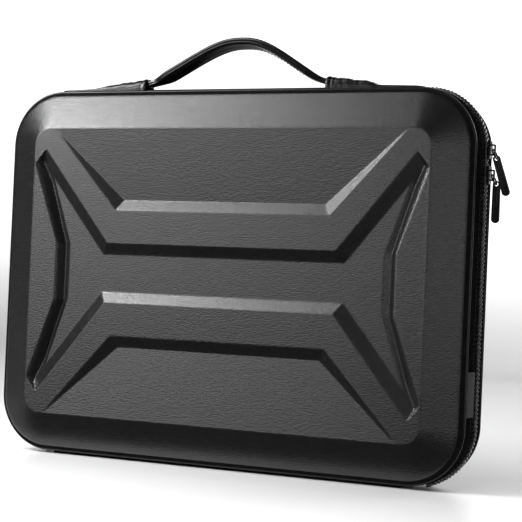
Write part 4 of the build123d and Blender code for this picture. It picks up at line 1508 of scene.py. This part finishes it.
@dataclass(frozen=True)
class Studio:
    """Pale floor that sweeps up into a backdrop, soft lamps and the camera."""

    yaw: float = 24.726
    pitch: float = -0.731
    roll: float = 2.527
    distance: float = 1.1993
    offset: tuple = (0.02108, 0.0146)
    centre: tuple = (0.0, -0.003, 0.1486)
    sensor: float = 36.0
    lens: float = sensor * 1527.07 / 522  # focal length over the width of the frame
    lamps: tuple = (
        Softbox("key", (-0.60, -0.52, 0.84), (-0.13, 0.0, 0.27), (0.42, 0.42), 4.9),
        Softbox("key_core", (-0.52, -0.46, 0.76), (-0.05, 0.0, 0.25), (0.2, 0.2), 1.0),
        Softbox("high_key", (-0.37, -0.35, 0.995), (-0.13, 0.0, 0.22), (0.3, 0.3), 1.4),
        Softbox("left_key", (-0.47, -0.33, 0.50), (0.12, 0.0, 0.22), (0.14, 0.14), 2.6),
        Softbox("front_fill", (-1.05, -1.35, 0.48), (-0.1, 0.0, 0.16), (0.9, 0.85), 9.6),
        Softbox("front_mid", (-0.45, -1.70, 0.35), (0.0, 0.0, 0.16), (0.4, 0.5), 1.8),
        Softbox("right_low", (0.95, -1.60, 0.18), (0.1, 0.0, 0.16), (0.5, 0.3), 1.7),
        Softbox("right_mid", (0.85, -1.65, 0.45), (0.1, 0.0, 0.16), (0.4, 0.4), 1.6),
        Softbox("top", (0.0, -0.9, 2.2), (0.0, -0.2, 0.0), (2.0, 1.0), 18.0, False),
        Softbox("rear_fill", (1.05, 1.45, 0.95), (0.05, 0.0, 0.16), (0.8, 0.8), 8.0),
    )

    def floor(self) -> bpy.types.Object:
        """Floor and backdrop: a profile of floor, quarter arc and wall, carried along X."""
        bend, back, high, front = 0.8, 2.2, 3.2, -2.6
        angle = np.linspace(0, np.pi / 2, 25)[1:-1]
        ys = np.concatenate([[front, -0.6, 0.0, 0.6, back - bend], back - bend + bend * np.sin(angle), [back, back]])
        zs = np.concatenate([[0] * 5, bend - bend * np.cos(angle), [bend, high]])
        xs = np.linspace(-4, 4, 9)
        points = np.stack([*np.broadcast_arrays(xs[:, None], ys[None], zs[None])], -1)
        skin = Skin()
        skin.add_grid(skin.add_points(points / MM), flip=True)
        floor = skin.build("studio_floor", outward=False, smooth=180)
        floor.data.materials.append(self.paper())
        return floor

    @staticmethod
    def paper() -> bpy.types.Material:
        """White paper that shines where it rises and a little in front: seen and mirrored, but lighting nothing matt."""
        n = Nodes("studio_paper")
        rays = n.add("ShaderNodeLightPath").outputs
        seen = n.math("MAXIMUM", rays["Is Camera Ray"], rays["Is Glossy Ray"])
        seen = n.math("MAXIMUM", seen, rays["Is Transmission Ray"])
        place = n.add("ShaderNodeSeparateXYZ", Vector=n.place).outputs
        glow = n.math("MAXIMUM", n.remap(place["Z"], 0.0, 0.25), n.remap(place["Y"], -0.05, -0.2, 0.0, 0.3))
        return n.dress(
            Base_Color=n.mix(n.noise((3, 3, 3)), (0.88, 0.88, 0.88), (0.92, 0.92, 0.92)),
            Roughness=0.3,
            Specular_IOR_Level=0.4,
            Emission_Color=(1.0, 1.0, 1.0, 1.0),
            Emission_Strength=n.math("MULTIPLY", seen, glow),
        )

    def flag(self) -> bpy.types.Object:
        """Black card in front of the case that only reflections see, open from below."""
        xs, ys = np.linspace(-1200, 700, 8), np.linspace(-900, -33, 8)
        points = np.stack([*np.meshgrid(xs, ys), np.full((8, 8), 3.0)], -1)
        skin = Skin()
        skin.add_grid(skin.add_points(points))
        card = skin.build("studio_flag", outward=False)
        n = Nodes("studio_black")
        n.dress(Base_Color=(0.002, 0.002, 0.002), Roughness=0.9)
        n.set(n.shader.inputs["Alpha"], n.math("SUBTRACT", 1.0, n.add("ShaderNodeNewGeometry").outputs["Backfacing"]))
        card.data.materials.append(n.material)
        card.visible_camera = card.visible_diffuse = card.visible_shadow = card.visible_transmission = False
        return card

    def camera(self) -> None:
        """Camera at the viewing angle: yaw to the right, pitch, roll, and a small offset of the aim."""
        y, p, r = (math.radians(v) for v in (self.yaw, self.pitch, self.roll))
        right0 = Vector((math.cos(y), math.sin(y), 0))
        ahead0 = Vector((-math.sin(y), math.cos(y), 0))
        ahead = math.cos(p) * ahead0 - math.sin(p) * Vector((0, 0, 1))
        up0 = math.cos(p) * Vector((0, 0, 1)) + math.sin(p) * ahead0
        eye = Vector(self.centre) - ahead * self.distance + right0 * self.offset[0] + up0 * self.offset[1]
        right = math.cos(r) * right0 + math.sin(r) * up0
        up = -math.sin(r) * right0 + math.cos(r) * up0
        data = bpy.data.cameras.new("camera")
        data.lens = self.lens
        data.sensor_width = self.sensor
        data.clip_end = 30
        camera = bpy.data.objects.new("camera", data)
        rows = [(right[i], up[i], -ahead[i], eye[i]) for i in range(3)] + [(0, 0, 0, 1)]
        camera.matrix_world = Matrix(rows)
        bpy.context.scene.collection.objects.link(camera)
        bpy.context.scene.camera = camera

    def world(self) -> None:
        """Dark world that reflections see past the paper, white to the camera and through glass."""
        world = bpy.data.worlds.new("studio")
        bpy.context.scene.world = world
        world.use_nodes = True
        world.node_tree.nodes["Background"].inputs["Color"].default_value = (1, 1, 1, 1)
        tree = world.node_tree
        rays = tree.nodes.new("ShaderNodeLightPath")
        seen = tree.nodes.new("ShaderNodeMath")
        seen.operation = "MAXIMUM"
        tree.links.new(rays.outputs["Is Camera Ray"], seen.inputs[0])
        tree.links.new(rays.outputs["Is Transmission Ray"], seen.inputs[1])
        strength = tree.nodes.new("ShaderNodeMapRange")
        strength.inputs["To Min"].default_value = 0.02
        tree.links.new(seen.outputs[0], strength.inputs["Value"])
        tree.links.new(strength.outputs["Result"], tree.nodes["Background"].inputs["Strength"])

    def build(self) -> None:
        """Set up the studio."""
        bpy.context.scene.view_settings.view_transform = "Standard"
        self.floor()
        self.flag()
        self.world()
        for lamp in self.lamps:
            lamp.build()
        self.camera()


def main() -> None:
    """Build the case piece by piece, then the studio."""
    logging.basicConfig(level=logging.INFO, format="%(name)s: %(message)s")
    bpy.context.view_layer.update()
    finishes = Finishes()
    outline = Outline()
    for facing in Facing:
        shell = MouldedShell(facing, outline).build(finishes)
        log.info("%s: %d faces", shell.name, len(shell.data.polygons))
        for piece in SideBands(facing, outline).build(finishes):
            log.info("%s: %d faces", piece.name, len(piece.data.polygons))
    for piece in Handle().build(finishes) + Hardware().build(finishes) + Inside(outline).build(finishes):
        log.info("%s: %d faces", piece.name, len(piece.data.polygons))
    Studio().build()
    bpy.context.view_layer.update()


if __name__ == "__main__":
    main()
